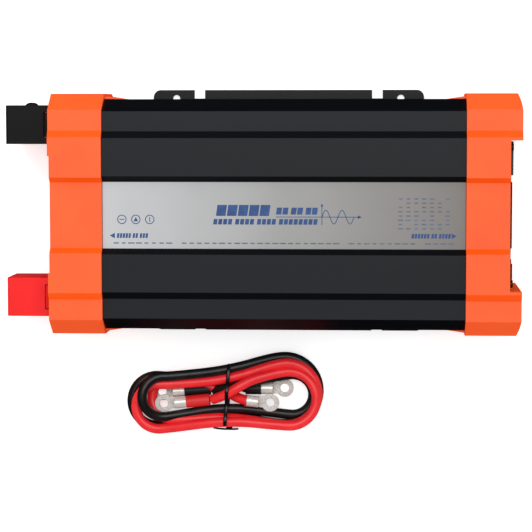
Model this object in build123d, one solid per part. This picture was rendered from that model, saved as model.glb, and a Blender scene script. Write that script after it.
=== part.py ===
from build123d import *
import math
import os

# Power inverter with moulded end caps, an extruded stepped housing and a tied pair of battery leads.
# Millimetres. X runs from the battery end (-X) to the mains end (+X), +Y is the rear, +Z is up.
# The origin is on the underside of the mounting plate, at the middle of its four holes.

# ---- Housing extrusion ----
visible_length = 264.0        # housing between the two caps
side_half = 84.25             # half width over the side walls
housing_height = 80.0
cap_overlap = 8.0             # housing hidden inside each cap
housing_wall = 3.2
recess_half = 24.6            # half width of the label recess floor
recess_drop = 4.0             # recess floor below the inner bands
inner_band_start = 28.4
inner_band_end = 56.0
outer_band_start = 61.0
outer_band_drop = 3.0
shoulder_inset = 8.85         # outer band's edge inside the side wall
shoulder_drop = 18.0          # where the upper shoulder meets the side wall
foot_height = 18.0            # where the side wall meets the lower shoulder
foot_inset = 8.25             # flat underside's edge inside the side wall
recess_top = housing_height - recess_drop
inner_band_top = housing_height
outer_band_top = housing_height - outer_band_drop
outer_band_end = side_half - shoulder_inset
shoulder_height = housing_height - shoulder_drop
foot_half = side_half - foot_inset
parting_height = housing_height / 2
groove_depth = 1.0
groove_width = 2.6
groove_pitch = 6.0
groove_count = 3              # on each side of the parting line
tongue_width = 1.2
tongue_height = 2.0

# ---- Mounting plate ----
plate_setback = 29.5          # plate's end inside the visible housing
plate_flange = 7.15           # plate's edge past the side wall
plate_thickness = 1.5
plate_corner = 5.5
mount_hole = 5.4
mount_end = 17.5              # hole centre from the plate's end
mount_edge = 6.4              # and from its edge
notch_width = 8.0
notch_depth = 6.4
notch_spacing = 17.7          # notch from the hole next to it
plate_screw_inset = 14.5      # end screws from the plate's end
plate_screw_y = 42.0
plate_screw_bite = 1.5        # screw past the housing floor
countersink_radius = 2.9
plate_length = visible_length - 2 * plate_setback
plate_width = 2 * (side_half + plate_flange)
mount_spacing_x = plate_length - 2 * mount_end
mount_spacing_y = plate_width - 2 * mount_edge
notch_x = mount_spacing_x / 2 - notch_spacing
plate_screw_x = plate_length / 2 - plate_screw_inset

# ---- End caps ----
cap_length = 39.3             # battery cap, seen outside the housing
mains_cap_length = 31.5       # mains cap, without its two hoods
cap_lift = 2.0                # cap stands over the housing on top
cap_spread = 4.0              # and at each side
cap_wall = 3.0
hood_reach = 8.6              # hoods past the mains face
hood_inner = 54.5             # inner face of each hood
hood_round = 36.0             # plan radius of the hoods' outer corners
hood_round_inset = 14.0       # where that rounding starts, inside the cap's side
fan_bay_depth = 1.2
bay_margin = 1.0              # bay wall's top below the recess floor
ear_length = 14.0             # thin tapered ears along the housing sides
ear_thickness = 2.2
ear_margin = 2.0              # from the ear to the side wall's upper and lower edges

# ---- Cap screws ----
channel_side = 16.25          # channel centre inside the side wall
channel_y = side_half - channel_side
channel_radius = 4.0
channel_inset = 6.2           # channel centre inside the outer skin
cap_screw_radius = 1.9
cap_screw_head = 3.4
cap_screw_head_height = 2.6
cap_screw_seat = 6.0          # head seat behind the battery face
cap_screw_bite = 9.0
cap_screw_key = 2.5           # across the flats of the driving hollow
cap_screw_key_depth = 1.5
boss_wall = 1.0               # cap boss outside the housing's channel

# ---- Shared clearances ----
screw_clearance = 0.10
slide_clearance = 0.20
fit_clearance = 0.05

# ---- Fans ----
fan_size = 40.0
fan_depth = 20.0
fan_gap = 1.2                 # each fan from the middle line
fan_rise = 1.0                # fan centre above mid height
fan_rim = 1.0                 # frame outside the bore
fan_bay_margin = 1.8          # set-back bay past the fans
fan_tip_clearance = 0.8
fan_hub = 9.5
fan_shaft = 1.5
fan_shaft_length = 3.0
fan_shaft_end_gap = 0.2
fan_hub_setback = 2.0         # rotor hub behind the frame's face
fan_strut = 3.0
fan_strut_count = 3
fan_motor_margin = 0.5        # motor seat past the hub
blade_thickness = 1.2
blade_chord = 10.0
blade_pitch = 38.0            # degrees
blade_root = 1.0              # blade inside the hub, and the hub's gap to the struts
fan_hole_inset = 4.0
fan_screw_radius = 1.6
fan_screw_head = 3.0
fan_screw_head_height = 1.2
fan_screw_length = 24.0
guard_wire = 0.8
guard_ring_setbacks = (12.0, 7.0, 2.0)
blade_count = 7
fan_y = fan_gap + fan_size / 2
fan_z = housing_height / 2 + fan_rise
fan_bore = fan_size / 2 - fan_rim
fan_hole_pitch = fan_size - 2 * fan_hole_inset
fan_bay_half = fan_gap + fan_size + fan_bay_margin

# ---- Battery terminals ----
negative_gap = 8.3            # negative cover from the fan bay
positive_gap = 4.7
terminal_z = 33.0
stud_radius = 4.0
stud_length_out = 22.0
stud_length_in = 12.0
cover_width = 28.6
cover_top = 54.0
cover_bottom = 14.0
cover_reach = 35.2            # how far the cover stands out from the cap
cover_wall = 2.0
cover_pivot_radius = 6.0      # outer radius of the cover's rolled back edge
cover_pin_radius = 1.5
cover_gap = 0.5
cover_corner = 1.5            # rounding of the cover's far upper edge
hinge_lug_inset = 3.0         # lug narrower than the terminal block, each side
hinge_lug_radius = 3.4
terminal_block_drop = 5.0     # block's top below the hinge pin
terminal_block_foot = 2.0     # block's underside above the cover's rim
stud_collar = 4.0
cable_entry_width = 14.0
cable_entry_height = 20.0
base_depth = 8.0
rib_length = 8.0              # thumb rib on the cover's outer side
rib_proud = 2.0
rib_low = 3.0                 # rib's lower and upper ends above the cover's rim
rib_high = 15.0
negative_y = fan_bay_half + negative_gap + cover_width / 2
positive_y = -fan_bay_half - positive_gap - cover_width / 2
washer_radius = 7.5
washer_thickness = 1.6
spring_washer_radius = 6.6
spring_washer_thickness = 2.0
nut_across_flats = 13.0
nut_height = 6.5

# ---- Mains panel ----
panel_half = 53.5
panel_bottom = 10.0
panel_drop = 7.0              # panel's top below the housing's top
panel_top = housing_height - panel_drop
panel_thickness = 2.7
panel_proud = 0.7
panel_ledge = 3.0             # cap ledge that the panel rests on
panel_screw_inset = 4.0
panel_screw_radius = 1.5
panel_screw_head = 2.8
panel_screw_head_height = 1.8
panel_screw_length = 7.0      # behind the panel
panel_screw_key = 2.2
panel_screw_key_depth = 1.2
panel_boss_radius = 3.0
panel_boss_length = 8.0
socket_size = 48.0
socket_z = 42.0
socket_depth = 24.0
socket_proud = 1.2
socket_lip = 2.0              # flange past the body behind the panel
socket_slot_width = 5.4
socket_slot_height = 9.0
socket_slot_depth = 16.0
socket_slot_spread = 9.5
socket_slot_rise = 5.0
contact_space = 6.0           # behind each aperture
contact_length = 5.0
socket_ground_drop = 12.0
switch_y = -41.4
switch_width = 18.2
switch_height = 26.0
switch_z = 51.0
switch_bezel = 1.0
switch_body_depth = 18.0
switch_lip = 1.4
switch_well_depth = 9.0
switch_frame = 3.2            # bezel beside the rocker
rocker_swing = 8.0            # degrees each way from level
rocker_axis_depth = 2.0       # behind the panel's face
rocker_depth = 3.0
rocker_crown = 2.6
rocker_dip = 1.6              # the rocker's middle below its ends
rocker_side_gap = 0.3
rocker_end_gap = 0.7
rocker_pivot_radius = 1.0
rocker_pivot_socket = 0.8
rocker_pivot_length = 0.9
usb_y = 41.2
usb_width = 24.4
usb_height = 22.0
usb_z = 55.0
usb_proud = 1.9
usb_flange = 3.2              # bezel past the body behind the panel
usb_depth = 20.0
usb_port_width = 12.4
usb_port_height = 5.0
usb_port_pitch = 9.0
usb_port_depth = 14.0
usb_tongue_half = 5.0
usb_tongue_setback = 1.5
usb_tongue_low = 0.1          # tongue's underside and top above the port's middle
usb_tongue_high = 2.0
lamp_radius = 2.4
lamp_z = 27.0
lamp_spread = 5.0
lamp_rise = 0.4               # straight part of the lens past the panel
lamp_proud = 1.6
lamp_flange = 0.8
lamp_flange_thickness = 1.0
ground_y = 41.2
ground_z = 22.0
ground_screw_radius = 2.0
ground_screw_length = 5.0     # behind the panel
ground_head_flats = 7.0
ground_head_height = 2.0
ground_washer_radius = 4.6
ground_washer_thickness = 0.8

# ---- Circuit board and what it carries ----
board_inset = 14.0            # board's ends inside the visible housing
board_side = 20.25            # board's edges inside the side walls
board_back = visible_length / 2 - board_inset
board_front = -board_back
board_half = side_half - board_side
board_z = 10.0
board_thickness = 1.6
standoff_radius = 3.0
standoff_inset_x = 10.0
standoff_inset_y = 7.0
standoff_x = board_back - standoff_inset_x
standoff_y = board_half - standoff_inset_y
board_screw_radius = 1.5
board_screw_head = 2.8
board_screw_head_height = 2.0
board_screw_setback = 0.5     # screw's point above the mounting plate
heatsink_end = 23.0           # heatsink's ends inside the board's ends
heatsink_length = 2 * (board_back - heatsink_end)
heatsink_y = board_half - standoff_inset_y
heatsink_base = 4.0
heatsink_height = 38.0
heatsink_fins = 7
heatsink_shift = 4.0          # towards the mains end
fin_length = 9.0
fin_thickness = 1.6
heatsink_relief = 0.6         # room round and over the board's screw heads
mosfet_count = 10
mosfet_half = 5.0
mosfet_thickness = 4.5
mosfet_height = 16.0
mosfet_leg_length = 8.0
mosfet_leg_pitch = 2.5
mosfet_leg_half = 0.5
mosfet_leg_thickness = 0.6
transformer_y = 19.5
transformer_x = -34.0
core_length = 42.0
core_width = 34.0
core_height = 36.0
core_limb = 8.0
core_stand = 1.5              # core above the board
winding_bulge = 5.0           # winding past the core, front and rear
bobbin_wall = 1.0
input_can_radius = 9.0
input_can_height = 36.0
input_can_count = 5
input_can_gap = 1.6
input_can_inset = 32.0        # from the board's battery end
bus_can_radius = 13.0
bus_can_height = 46.0
bus_can_gap = 3.0             # from the middle line
bus_can_offset = 8.0          # from the transformers
can_neck_low = 3.0
can_neck_height = 1.2
can_neck_depth = 0.7
choke_radius = 17.0
choke_ring = 5.5              # radius of the wound ring's own section
choke_y = -22.0
choke_inset = 36.0            # from the board's mains end
choke_foot_half_x = 9.0
choke_foot_half_y = 6.0
choke_foot_height = 4.0
card_inset = 70.0             # control board's start from the board's mains end
card_length = 46.0
card_height = 36.0
card_y = 24.0
card_thickness = 1.6
chip_count = 3
chip_start = 5.0
chip_pitch = 14.0
chip_size = 9.0
chip_low = 12.0
fuse_count = 6
fuse_inset = 9.0
fuse_pitch = 15.0
fuse_half_x = 5.0
fuse_half_y = 5.5
fuse_height = 17.0
bar_half = 8.0                # half width of the strip at the stud
bar_thickness = 2.0
bar_rise = 9.0                # above the board
bar_board_inset = 5.0
bar_fan_gap = 5.0             # strip from the fan bay
bar_side_gap = 7.45           # and from the housing's wall
bar_foot_inset = 2.0          # foot from the board's edge

# ---- Nameplate ----
label_thickness = 0.25
label_margin_y = 0.4
label_margin_x = 0.3

# ---- Battery leads, tied together and lying in front of the housing ----
lead_diameter = 7.6
coil_left = -124.3
coil_right = 26.7
coil_gap = 14.6               # coil in front of the mounting plate
coil_depth = 65.5
coil_rear = -(plate_width / 2 + coil_gap)
coil_front = coil_rear - coil_depth
coil_middle = (coil_rear + coil_front) / 2
coil_band = 16.0              # width of the ring of turns
tie_nip = 8.0                 # how far the tie gathers the turns inwards on each side
tie_x = -46.0
round_share = 0.999           # the ring's ends are all but half circles
waist_half = 12.0             # half length of the gathered stretch at the tie
tie_width = 4.8
tie_thickness = 1.3
tie_slack = 4.0               # gathered stretch past the strap
tie_head_overhang = 1.2
tie_head_depth = 3.4
tie_head_low = 2.0
tie_head_high = 9.0
tie_tail_gap = 1.0            # tail in front of the strap
tie_tail_thickness = 1.4
tie_tail_inset = 0.4
lug_ring_radius = 6.8
lug_hole_radius = 3.3
lug_thickness = 1.8
lug_barrel_radius = 4.3
lug_barrel_length = 9.0
lug_neck = 2.0                # from the ring's edge to the barrel
lug_neck_lap = 1.0            # flattened metal under the barrel
sleeve_radius = 4.6
sleeve_tuck = 1.5             # sleeve inside the gathered coil

# Each lug: ring centre x, y, heading towards its lead in degrees, height of the ring's underside.
lugs = {
    "black_lug_left": (-97.0, coil_middle - 0.65, 4.0, 0.0),
    "black_lug_right": (-2.8, coil_middle + 2.75, 180.0, 0.0),
    "red_lug_left": (-95.0, coil_middle - 8.85, 6.0, lead_diameter),
    "red_lug_right": (-13.5, coil_middle - 7.65, 174.0, lead_diameter),
}

# ---- Derived places ----
housing_half = visible_length / 2
housing_end = housing_half + cap_overlap
battery_face = -(housing_half + cap_length)
mains_face = housing_half + mains_cap_length
hood_face = mains_face + hood_reach
channel_top_z = outer_band_top - channel_inset
channel_low_z = plate_thickness + channel_inset
base_face = battery_face - base_depth
pivot_x = battery_face - cover_pivot_radius - cover_gap
pivot_z = cover_top - cover_pivot_radius
cover_end = battery_face - cover_reach
terminal_block_half = cover_width / 2 - cover_wall - cover_gap
hinge_lug_half = terminal_block_half - hinge_lug_inset
bay_face = battery_face + fan_bay_depth
battery_inner = battery_face + cap_wall + fan_bay_depth
board_top = board_z + board_thickness
floor_top = plate_thickness + housing_wall
panel_face = mains_face + panel_proud
panel_back = panel_face - panel_thickness
socket_face = panel_face + socket_proud
usb_face = panel_face + usb_proud
card_start = board_back - card_inset
core_low = board_top + core_stand
core_half = core_width / 2 - winding_bulge
core_window = core_length / 2 - core_limb * 1.75
lug_barrel_start = lug_ring_radius + lug_neck


def block(x0, x1, y0, y1, z0, z1):
    """A box between two corners."""
    return Pos((x0 + x1) / 2, (y0 + y1) / 2, (z0 + z1) / 2) * Box(x1 - x0, y1 - y0, z1 - z0)


def rod_x(radius, x0, x1, y, z):
    """A cylinder along X."""
    return Pos((x0 + x1) / 2, y, z) * Rot(0, 90, 0) * Cylinder(radius, x1 - x0)


def rod_y(radius, x, y0, y1, z):
    """A cylinder along Y."""
    return Pos(x, (y0 + y1) / 2, z) * Rot(90, 0, 0) * Cylinder(radius, y1 - y0)


def rod_z(radius, x, y, z0, z1):
    """A cylinder along Z."""
    return Pos(x, y, (z0 + z1) / 2) * Cylinder(radius, z1 - z0)


def hex_x(across_flats, x0, x1, y, z):
    """A hexagonal prism along X."""
    outline = Plane.YZ.offset(x0) * Pos(y, z) * RegularPolygon(across_flats / math.sqrt(3), 6)
    return extrude(outline, amount=x1 - x0)


def corners(reach_y, heights):
    """Every pairing of two sides and a list of heights."""
    return [(side * reach_y, height) for side in (-1, 1) for height in heights]


def miter(run, rise):
    """Sideways shift of a corner between a level face and a slope, for each millimetre of lift."""
    return math.tan(math.atan2(abs(rise), abs(run)) / 2)


def stepped_section(lift, spread, bottom):
    """Outline of the housing across X, lifted on top, spread at the sides, standing on bottom."""
    recess_shift = lift * miter(inner_band_start - recess_half, inner_band_top - recess_top)
    step_shift = lift * miter(outer_band_start - inner_band_end, inner_band_top - outer_band_top)
    shoulder_shift = lift * miter(side_half - outer_band_end, outer_band_top - shoulder_height)
    half = [
        (recess_half - recess_shift, recess_top + lift),
        (inner_band_start - recess_shift, inner_band_top + lift),
        (inner_band_end + step_shift, inner_band_top + lift),
        (outer_band_start + step_shift, outer_band_top + lift),
        (outer_band_end + shoulder_shift, outer_band_top + lift),
        (side_half + spread, shoulder_height),
        (side_half + spread, foot_height),
        (foot_half + spread, bottom),
    ]
    mirrored = [(-y, z) for y, z in reversed(half)]
    return make_face(Polyline(*half, *mirrored, close=True))


def along_x(outline, x0, x1):
    """A flat outline in Y and Z, drawn out along X."""
    return extrude(Plane.YZ.offset(x0) * outline, amount=x1 - x0)


housing_section = stepped_section(0.0, 0.0, plate_thickness)
housing_bore = offset(housing_section, amount=-housing_wall, kind=Kind.INTERSECTION)
cap_section = stepped_section(cap_lift, cap_spread, 0.0)
cap_bore = offset(cap_section, amount=-cap_wall, kind=Kind.INTERSECTION)


def housing_shell():
    """The full extrusion with its side grooves and screw channels, before it is parted."""
    shell = along_x(housing_section, -housing_end, housing_end)
    shell -= along_x(housing_bore, -housing_end, housing_end)
    for step in range(1, groove_count + 1):
        for height in (parting_height - step * groove_pitch, parting_height + step * groove_pitch):
            for side in (-1, 1):
                inner = side * (side_half - groove_depth)
                outer = side * side_half
                low = height - groove_width / 2
                high = height + groove_width / 2
                shell -= block(-housing_end, housing_end, min(inner, outer), max(inner, outer), low, high)
    solid = along_x(housing_section, -housing_end, housing_end)
    for y, z in corners(channel_y, (channel_low_z, channel_top_z)):
        shell += rod_x(channel_radius, -housing_end, housing_end, y, z) & solid
    for y, z in corners(channel_y, (channel_low_z, channel_top_z)):
        shell -= rod_x(cap_screw_radius, -housing_end, housing_end, y, z)
    return shell


def tongue(side, clearance):
    """The rib on the lower shell's rim, or the slot for it in the upper shell."""
    middle = side * (side_half - groove_depth - (housing_wall - groove_depth) / 2)
    half = tongue_width / 2 + clearance
    top = parting_height + tongue_height + clearance
    return block(-housing_end, housing_end, middle - half, middle + half, parting_height, top)


def top_housing():
    shell = housing_shell()
    reach = side_half + cap_spread
    shell &= block(-housing_end, housing_end, -reach, reach, parting_height, inner_band_top + cap_lift)
    for side in (-1, 1):
        shell -= tongue(side, fit_clearance)
    return shell


def plate_screw_places():
    return [(x, side * plate_screw_y) for x in (-plate_screw_x, 0.0, plate_screw_x) for side in (-1, 1)]


def base_housing():
    shell = housing_shell()
    reach = side_half + cap_spread
    shell &= block(-housing_end, housing_end, -reach, reach, 0.0, parting_height)
    for side in (-1, 1):
        shell += tongue(side, 0.0)
    for x, y in plate_screw_places():
        shell -= rod_z(board_screw_radius + screw_clearance, x, y, plate_thickness, floor_top)
    for x, y in standoff_places():
        shell -= rod_z(board_screw_radius + screw_clearance, x, y, plate_thickness, floor_top)
    return shell


def mounting_plate():
    outline = RectangleRounded(plate_length, plate_width, plate_corner)
    plate = extrude(outline, amount=plate_thickness)
    for side_x in (-1, 1):
        for side_y in (-1, 1):
            plate -= rod_z(mount_hole / 2, side_x * mount_spacing_x / 2, side_y * mount_spacing_y / 2, 0.0,
                           plate_thickness)
            edge = side_y * plate_width / 2
            depth = side_y * (plate_width / 2 - notch_depth)
            left = side_x * notch_x - notch_width / 2
            plate -= block(left, left + notch_width, min(edge, depth), max(edge, depth), 0.0, plate_thickness)
    for x, y in plate_screw_places():
        plate -= countersunk(x, y, screw_clearance)
    return plate


def countersunk(x, y, clearance):
    """A flat-headed screw up from below, its head flush with the underside."""
    narrow = board_screw_radius + clearance
    head = Pos(x, y, plate_thickness / 2) * Cone(countersink_radius + clearance, narrow, plate_thickness)
    return head + rod_z(narrow, x, y, plate_thickness, floor_top + plate_screw_bite)


def mounting_plate_screws():
    return [countersunk(x, y, 0.0) for x, y in plate_screw_places()]


def cap_screw_seats(direction):
    """Seat of each cap screw's head: the battery cap's and the mains cap's, measured from the middle."""
    return abs(battery_face) - cap_screw_seat if direction < 0 else mains_face - cap_screw_seat / 2


def cap_screw_tunnels(direction, outer):
    """Bosses that carry the long cap screws, and the stepped holes through them."""
    seat = cap_screw_seats(direction)
    bosses = []
    holes = []
    for y, z in corners(channel_y, (channel_low_z, channel_top_z)):
        first = sorted((direction * housing_end, direction * outer))
        bosses.append(rod_x(channel_radius + boss_wall, first[0], first[1], y, z))
        holes.append(rod_x(cap_screw_radius + screw_clearance, first[0], first[1], y, z))
        head = sorted((direction * seat, direction * outer))
        holes.append(rod_x(cap_screw_head + screw_clearance, head[0], head[1], y, z))
    return bosses, holes


def cap_screws(direction):
    seat = cap_screw_seats(direction)
    result = []
    for y, z in corners(channel_y, (channel_low_z, channel_top_z)):
        shank = sorted((direction * (housing_end - cap_screw_bite), direction * seat))
        head = sorted((direction * seat, direction * (seat + cap_screw_head_height)))
        screw = rod_x(cap_screw_radius, shank[0], shank[1], y, z)
        screw += rod_x(cap_screw_head, head[0], head[1], y, z)
        outer = direction * (seat + cap_screw_head_height)
        key = sorted((outer, outer - direction * cap_screw_key_depth))
        screw -= hex_x(cap_screw_key, key[0], key[1], y, z)
        result.append(screw)
    return result


def ears(direction):
    """Thin tapered ears that run from the cap's rim along the side walls."""
    result = []
    for side in (-1, 1):
        rim = direction * housing_half
        tip = direction * (housing_half - ear_length)
        outline = make_face(Polyline(
            (rim, side * side_half),
            (rim, side * (side_half + ear_thickness)),
            (tip, side * side_half),
            close=True))
        height = shoulder_height - foot_height - 2 * ear_margin
        result.append(extrude(Plane.XY.offset(foot_height + ear_margin) * outline, amount=height))
    return result


def cap_shell(direction, outer):
    """Hollow cap with its rim over the housing's end."""
    span = sorted((direction * housing_half, direction * outer))
    inner = sorted((direction * housing_end, direction * (outer - cap_wall)))
    rim = sorted((direction * housing_half, direction * housing_end))
    cap = along_x(cap_section, span[0], span[1])
    cap -= along_x(cap_bore, inner[0], inner[1])
    cap -= along_x(housing_section, rim[0], rim[1])
    return cap


def battery_cap():
    outer = abs(battery_face)
    cap = cap_shell(-1, outer)
    tall = inner_band_top + cap_lift
    cap -= block(battery_face, bay_face, -fan_bay_half, fan_bay_half, 0.0, tall)
    cap += block(bay_face, battery_inner, -fan_bay_half, fan_bay_half, cap_wall, recess_top - bay_margin)
    bosses, holes = cap_screw_tunnels(-1, outer)
    solid = along_x(cap_section, battery_face, -housing_end)
    for boss in bosses:
        cap += boss & solid
    for hole in holes:
        cap -= hole
    for side in (-1, 1):
        cap -= rod_x(fan_bore, battery_face, battery_inner, side * fan_y, fan_z)
        for y, z in fan_screw_places(side):
            cap -= rod_x(fan_screw_radius + screw_clearance, battery_face, battery_inner, y, z)
    for y in (negative_y, positive_y):
        cap -= rod_x(stud_radius + screw_clearance, battery_face, battery_inner, y, terminal_z)
    for ear in ears(-1):
        cap += ear
    return cap


def fan_screw_places(side):
    reach = fan_hole_pitch / 2
    return [(side * fan_y + dy, fan_z + dz) for dy in (-reach, reach) for dz in (-reach, reach)]


def hood_corners():
    """What the rounding takes off the hoods' two outer corners."""
    outer = side_half + cap_spread
    top = inner_band_top + cap_lift
    result = []
    for side in (-1, 1):
        span = sorted((side * (outer - hood_round_inset), side * outer))
        corner = block(mains_face, hood_face, span[0], span[1], 0.0, top)
        corner -= rod_z(hood_round, hood_face - hood_round, side * (outer - hood_round_inset), 0.0, top)
        result.append(corner)
    return result


def mains_cap():
    cap = cap_shell(1, mains_face)
    hood = along_x(cap_section, mains_face, hood_face)
    hood -= block(mains_face, hood_face, -hood_inner, hood_inner, 0.0, inner_band_top + cap_lift)
    cap += hood
    cap -= block(panel_back, mains_face, -panel_half - slide_clearance, panel_half + slide_clearance,
                 panel_bottom - slide_clearance, panel_top + slide_clearance)
    cap -= block(housing_end, mains_face, -panel_half + panel_ledge, panel_half - panel_ledge,
                 panel_bottom + panel_ledge, panel_top - panel_ledge)
    bosses, holes = cap_screw_tunnels(1, hood_face)
    solid = along_x(cap_section, housing_end, hood_face)
    for boss in bosses:
        cap += boss & solid
    for hole in holes:
        cap -= hole
    for y, z in panel_screw_places():
        start = panel_back - panel_boss_length
        cap += rod_x(panel_boss_radius, start, panel_back, y, z) & solid
        cap -= rod_x(panel_screw_radius + screw_clearance, start, panel_back, y, z)
    for corner in hood_corners():
        cap -= corner
    for ear in ears(1):
        cap += ear
    return cap


def panel_screw_places():
    heights = (panel_bottom + panel_screw_inset, panel_top - panel_screw_inset)
    return corners(panel_half - panel_screw_inset, heights)


def mains_panel():
    panel = block(panel_back, panel_face, -panel_half, panel_half, panel_bottom, panel_top)
    half = socket_size / 2 - socket_lip
    panel -= block(panel_back, panel_face, -half, half, socket_z - half, socket_z + half)
    width = switch_width / 2 - switch_lip
    height = switch_height / 2 - switch_lip
    panel -= block(panel_back, panel_face, switch_y - width, switch_y + width, switch_z - height,
                   switch_z + height)
    width = usb_width / 2 - usb_flange
    height = usb_height / 2 - usb_flange
    panel -= block(panel_back, panel_face, usb_y - width, usb_y + width, usb_z - height, usb_z + height)
    for offset_y in (-lamp_spread, lamp_spread):
        panel -= rod_x(lamp_radius + fit_clearance, panel_back, panel_face, switch_y + offset_y, lamp_z)
    for y, z in panel_screw_places():
        panel -= rod_x(panel_screw_radius + screw_clearance, panel_back, panel_face, y, z)
    panel -= rod_x(ground_screw_radius + screw_clearance, panel_back, panel_face, ground_y, ground_z)
    return panel


def panel_screws():
    result = []
    for y, z in panel_screw_places():
        top = panel_face + panel_screw_head_height
        screw = rod_x(panel_screw_radius, panel_back - panel_screw_length, panel_face, y, z)
        screw += rod_x(panel_screw_head, panel_face, top, y, z)
        screw -= hex_x(panel_screw_key, top - panel_screw_key_depth, top, y, z)
        result.append(screw)
    return result


def ground_screw():
    seat = panel_face + ground_washer_thickness
    screw = rod_x(ground_screw_radius, panel_back - ground_screw_length, seat, ground_y, ground_z)
    return screw + hex_x(ground_head_flats, seat, seat + ground_head_height, ground_y, ground_z)


def ground_washer():
    top = panel_face + ground_washer_thickness
    washer = rod_x(ground_washer_radius, panel_face, top, ground_y, ground_z)
    return washer - rod_x(ground_screw_radius + fit_clearance, panel_face, top, ground_y, ground_z)


def socket_slots(depth):
    """Spaces of the universal outlet: two upper apertures and the earth aperture below them."""
    upper = socket_z + socket_slot_rise
    places = ((-socket_slot_spread, upper), (socket_slot_spread, upper), (0.0, socket_z - socket_ground_drop))
    return [(socket_face - depth, socket_face, y - socket_slot_width / 2, y + socket_slot_width / 2,
             z - socket_slot_height / 2, z + socket_slot_height / 2) for y, z in places]


def outlet_body():
    half = socket_size / 2
    body = block(panel_face, socket_face, -half, half, socket_z - half, socket_z + half)
    inner = half - socket_lip - fit_clearance
    body += block(panel_face - socket_depth, panel_face, -inner, inner, socket_z - inner, socket_z + inner)
    for slot in socket_slots(socket_slot_depth):
        body -= block(*slot)
    for x0, x1, y0, y1, z0, z1 in socket_slots(socket_slot_depth + contact_space):
        body -= block(x0, x0 + contact_space, y0, y1, z0, z1)
    return body


def outlet_contacts():
    """Brass contacts, one at the end of each aperture."""
    result = []
    for x0, x1, y0, y1, z0, z1 in socket_slots(socket_slot_depth + contact_space):
        result.append(block(x0, x0 + contact_length, y0, y1, z0, z1))
    return result


def switch_body():
    half_y = switch_width / 2
    half_z = switch_height / 2
    top = panel_face + switch_bezel
    body = block(panel_face, top, switch_y - half_y, switch_y + half_y, switch_z - half_z, switch_z + half_z)
    inner_y = half_y - switch_lip - fit_clearance
    inner_z = half_z - switch_lip - fit_clearance
    body += block(panel_face - switch_body_depth, panel_face, switch_y - inner_y, switch_y + inner_y,
                  switch_z - inner_z, switch_z + inner_z)
    hollow_y = rocker_half_width() + rocker_side_gap
    hollow_z = rocker_half_height() + rocker_end_gap
    body -= block(panel_face - switch_well_depth, top, switch_y - hollow_y, switch_y + hollow_y,
                  switch_z - hollow_z, switch_z + hollow_z)
    for side in (-1, 1):
        near = switch_y + side * hollow_y
        far = switch_y + side * (hollow_y + rocker_pivot_socket)
        body -= rod_y(rocker_pivot_radius + fit_clearance, rocker_axis_x(), min(near, far), max(near, far),
                      switch_z)
    return body


def rocker_half_width():
    return switch_width / 2 - switch_frame


def rocker_half_height():
    return switch_height / 2 - switch_frame


def rocker_axis_x():
    return panel_face - rocker_axis_depth


def rocker():
    """Rocker drawn level, then tipped so that its upper end stands out."""
    half_y = rocker_half_width()
    half_z = rocker_half_height()
    axis = rocker_axis_x()
    outline = make_face(Polyline(
        (axis - rocker_depth, switch_z - half_z),
        (axis - rocker_depth, switch_z + half_z),
        (axis + rocker_crown, switch_z + half_z),
        (axis + rocker_crown - rocker_dip, switch_z),
        (axis + rocker_crown, switch_z - half_z),
        close=True))
    body = extrude(Plane.XZ.offset(-(switch_y + half_y)) * outline, amount=2 * half_y)
    reach = half_y + rocker_pivot_length
    body += rod_y(rocker_pivot_radius, axis, switch_y - reach, switch_y + reach, switch_z)
    centre = Location((axis, switch_y, switch_z))
    return centre * Rot(0, rocker_swing, 0) * centre.inverse() * body


def usb_module():
    half_y = usb_width / 2
    half_z = usb_height / 2
    body = block(panel_face, usb_face, usb_y - half_y, usb_y + half_y, usb_z - half_z, usb_z + half_z)
    inner_y = half_y - usb_flange - fit_clearance
    inner_z = half_z - usb_flange - fit_clearance
    body += block(panel_face - usb_depth, panel_face, usb_y - inner_y, usb_y + inner_y,
                  usb_z - inner_z, usb_z + inner_z)
    for z in usb_heights():
        body -= block(usb_face - usb_port_depth, usb_face, usb_y - usb_port_width / 2,
                      usb_y + usb_port_width / 2, z - usb_port_height / 2, z + usb_port_height / 2)
    return body


def usb_heights():
    return [usb_z - usb_port_pitch / 2, usb_z + usb_port_pitch / 2]


def usb_tongues():
    start = usb_face - usb_port_depth
    return [block(start, usb_face - usb_tongue_setback, usb_y - usb_tongue_half, usb_y + usb_tongue_half,
                  z + usb_tongue_low, z + usb_tongue_high) for z in usb_heights()]


def indicator_lamp(offset_y):
    y = switch_y + offset_y
    lens = rod_x(lamp_radius, panel_back, panel_face + lamp_rise, y, lamp_z)
    dome = Pos(panel_face + lamp_rise, y, lamp_z) * Sphere(lamp_radius)
    lens += dome & block(panel_face, panel_face + lamp_proud, y - lamp_radius, y + lamp_radius,
                         lamp_z - lamp_radius, lamp_z + lamp_radius)
    flange_start = panel_back - lamp_flange_thickness
    return lens + rod_x(lamp_radius + lamp_flange, flange_start, panel_back, y, lamp_z)


# ---- Battery terminals ----
def terminal_base(y):
    """Moulded block that carries the stud and the cover's hinge lug."""
    low = cover_bottom + terminal_block_foot
    top = pivot_z - cover_pin_radius - terminal_block_drop
    body = block(base_face, battery_face, y - terminal_block_half, y + terminal_block_half, low, top)
    body += rod_y(hinge_lug_radius, pivot_x, y - hinge_lug_half, y + hinge_lug_half, pivot_z)
    body += block(pivot_x, battery_face, y - hinge_lug_half, y + hinge_lug_half, low, pivot_z)
    body -= rod_y(cover_pin_radius, pivot_x, y - hinge_lug_half, y + hinge_lug_half, pivot_z)
    body -= rod_x(stud_radius + screw_clearance, base_face, battery_face, y, terminal_z)
    return body


def terminal_stud(y):
    stud = rod_x(stud_radius, base_face - stud_length_out + base_depth, battery_inner + stud_length_in, y,
                 terminal_z)
    collar = hex_x(nut_across_flats, battery_inner, battery_inner + stud_collar, y, terminal_z)
    return stud + collar


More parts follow.
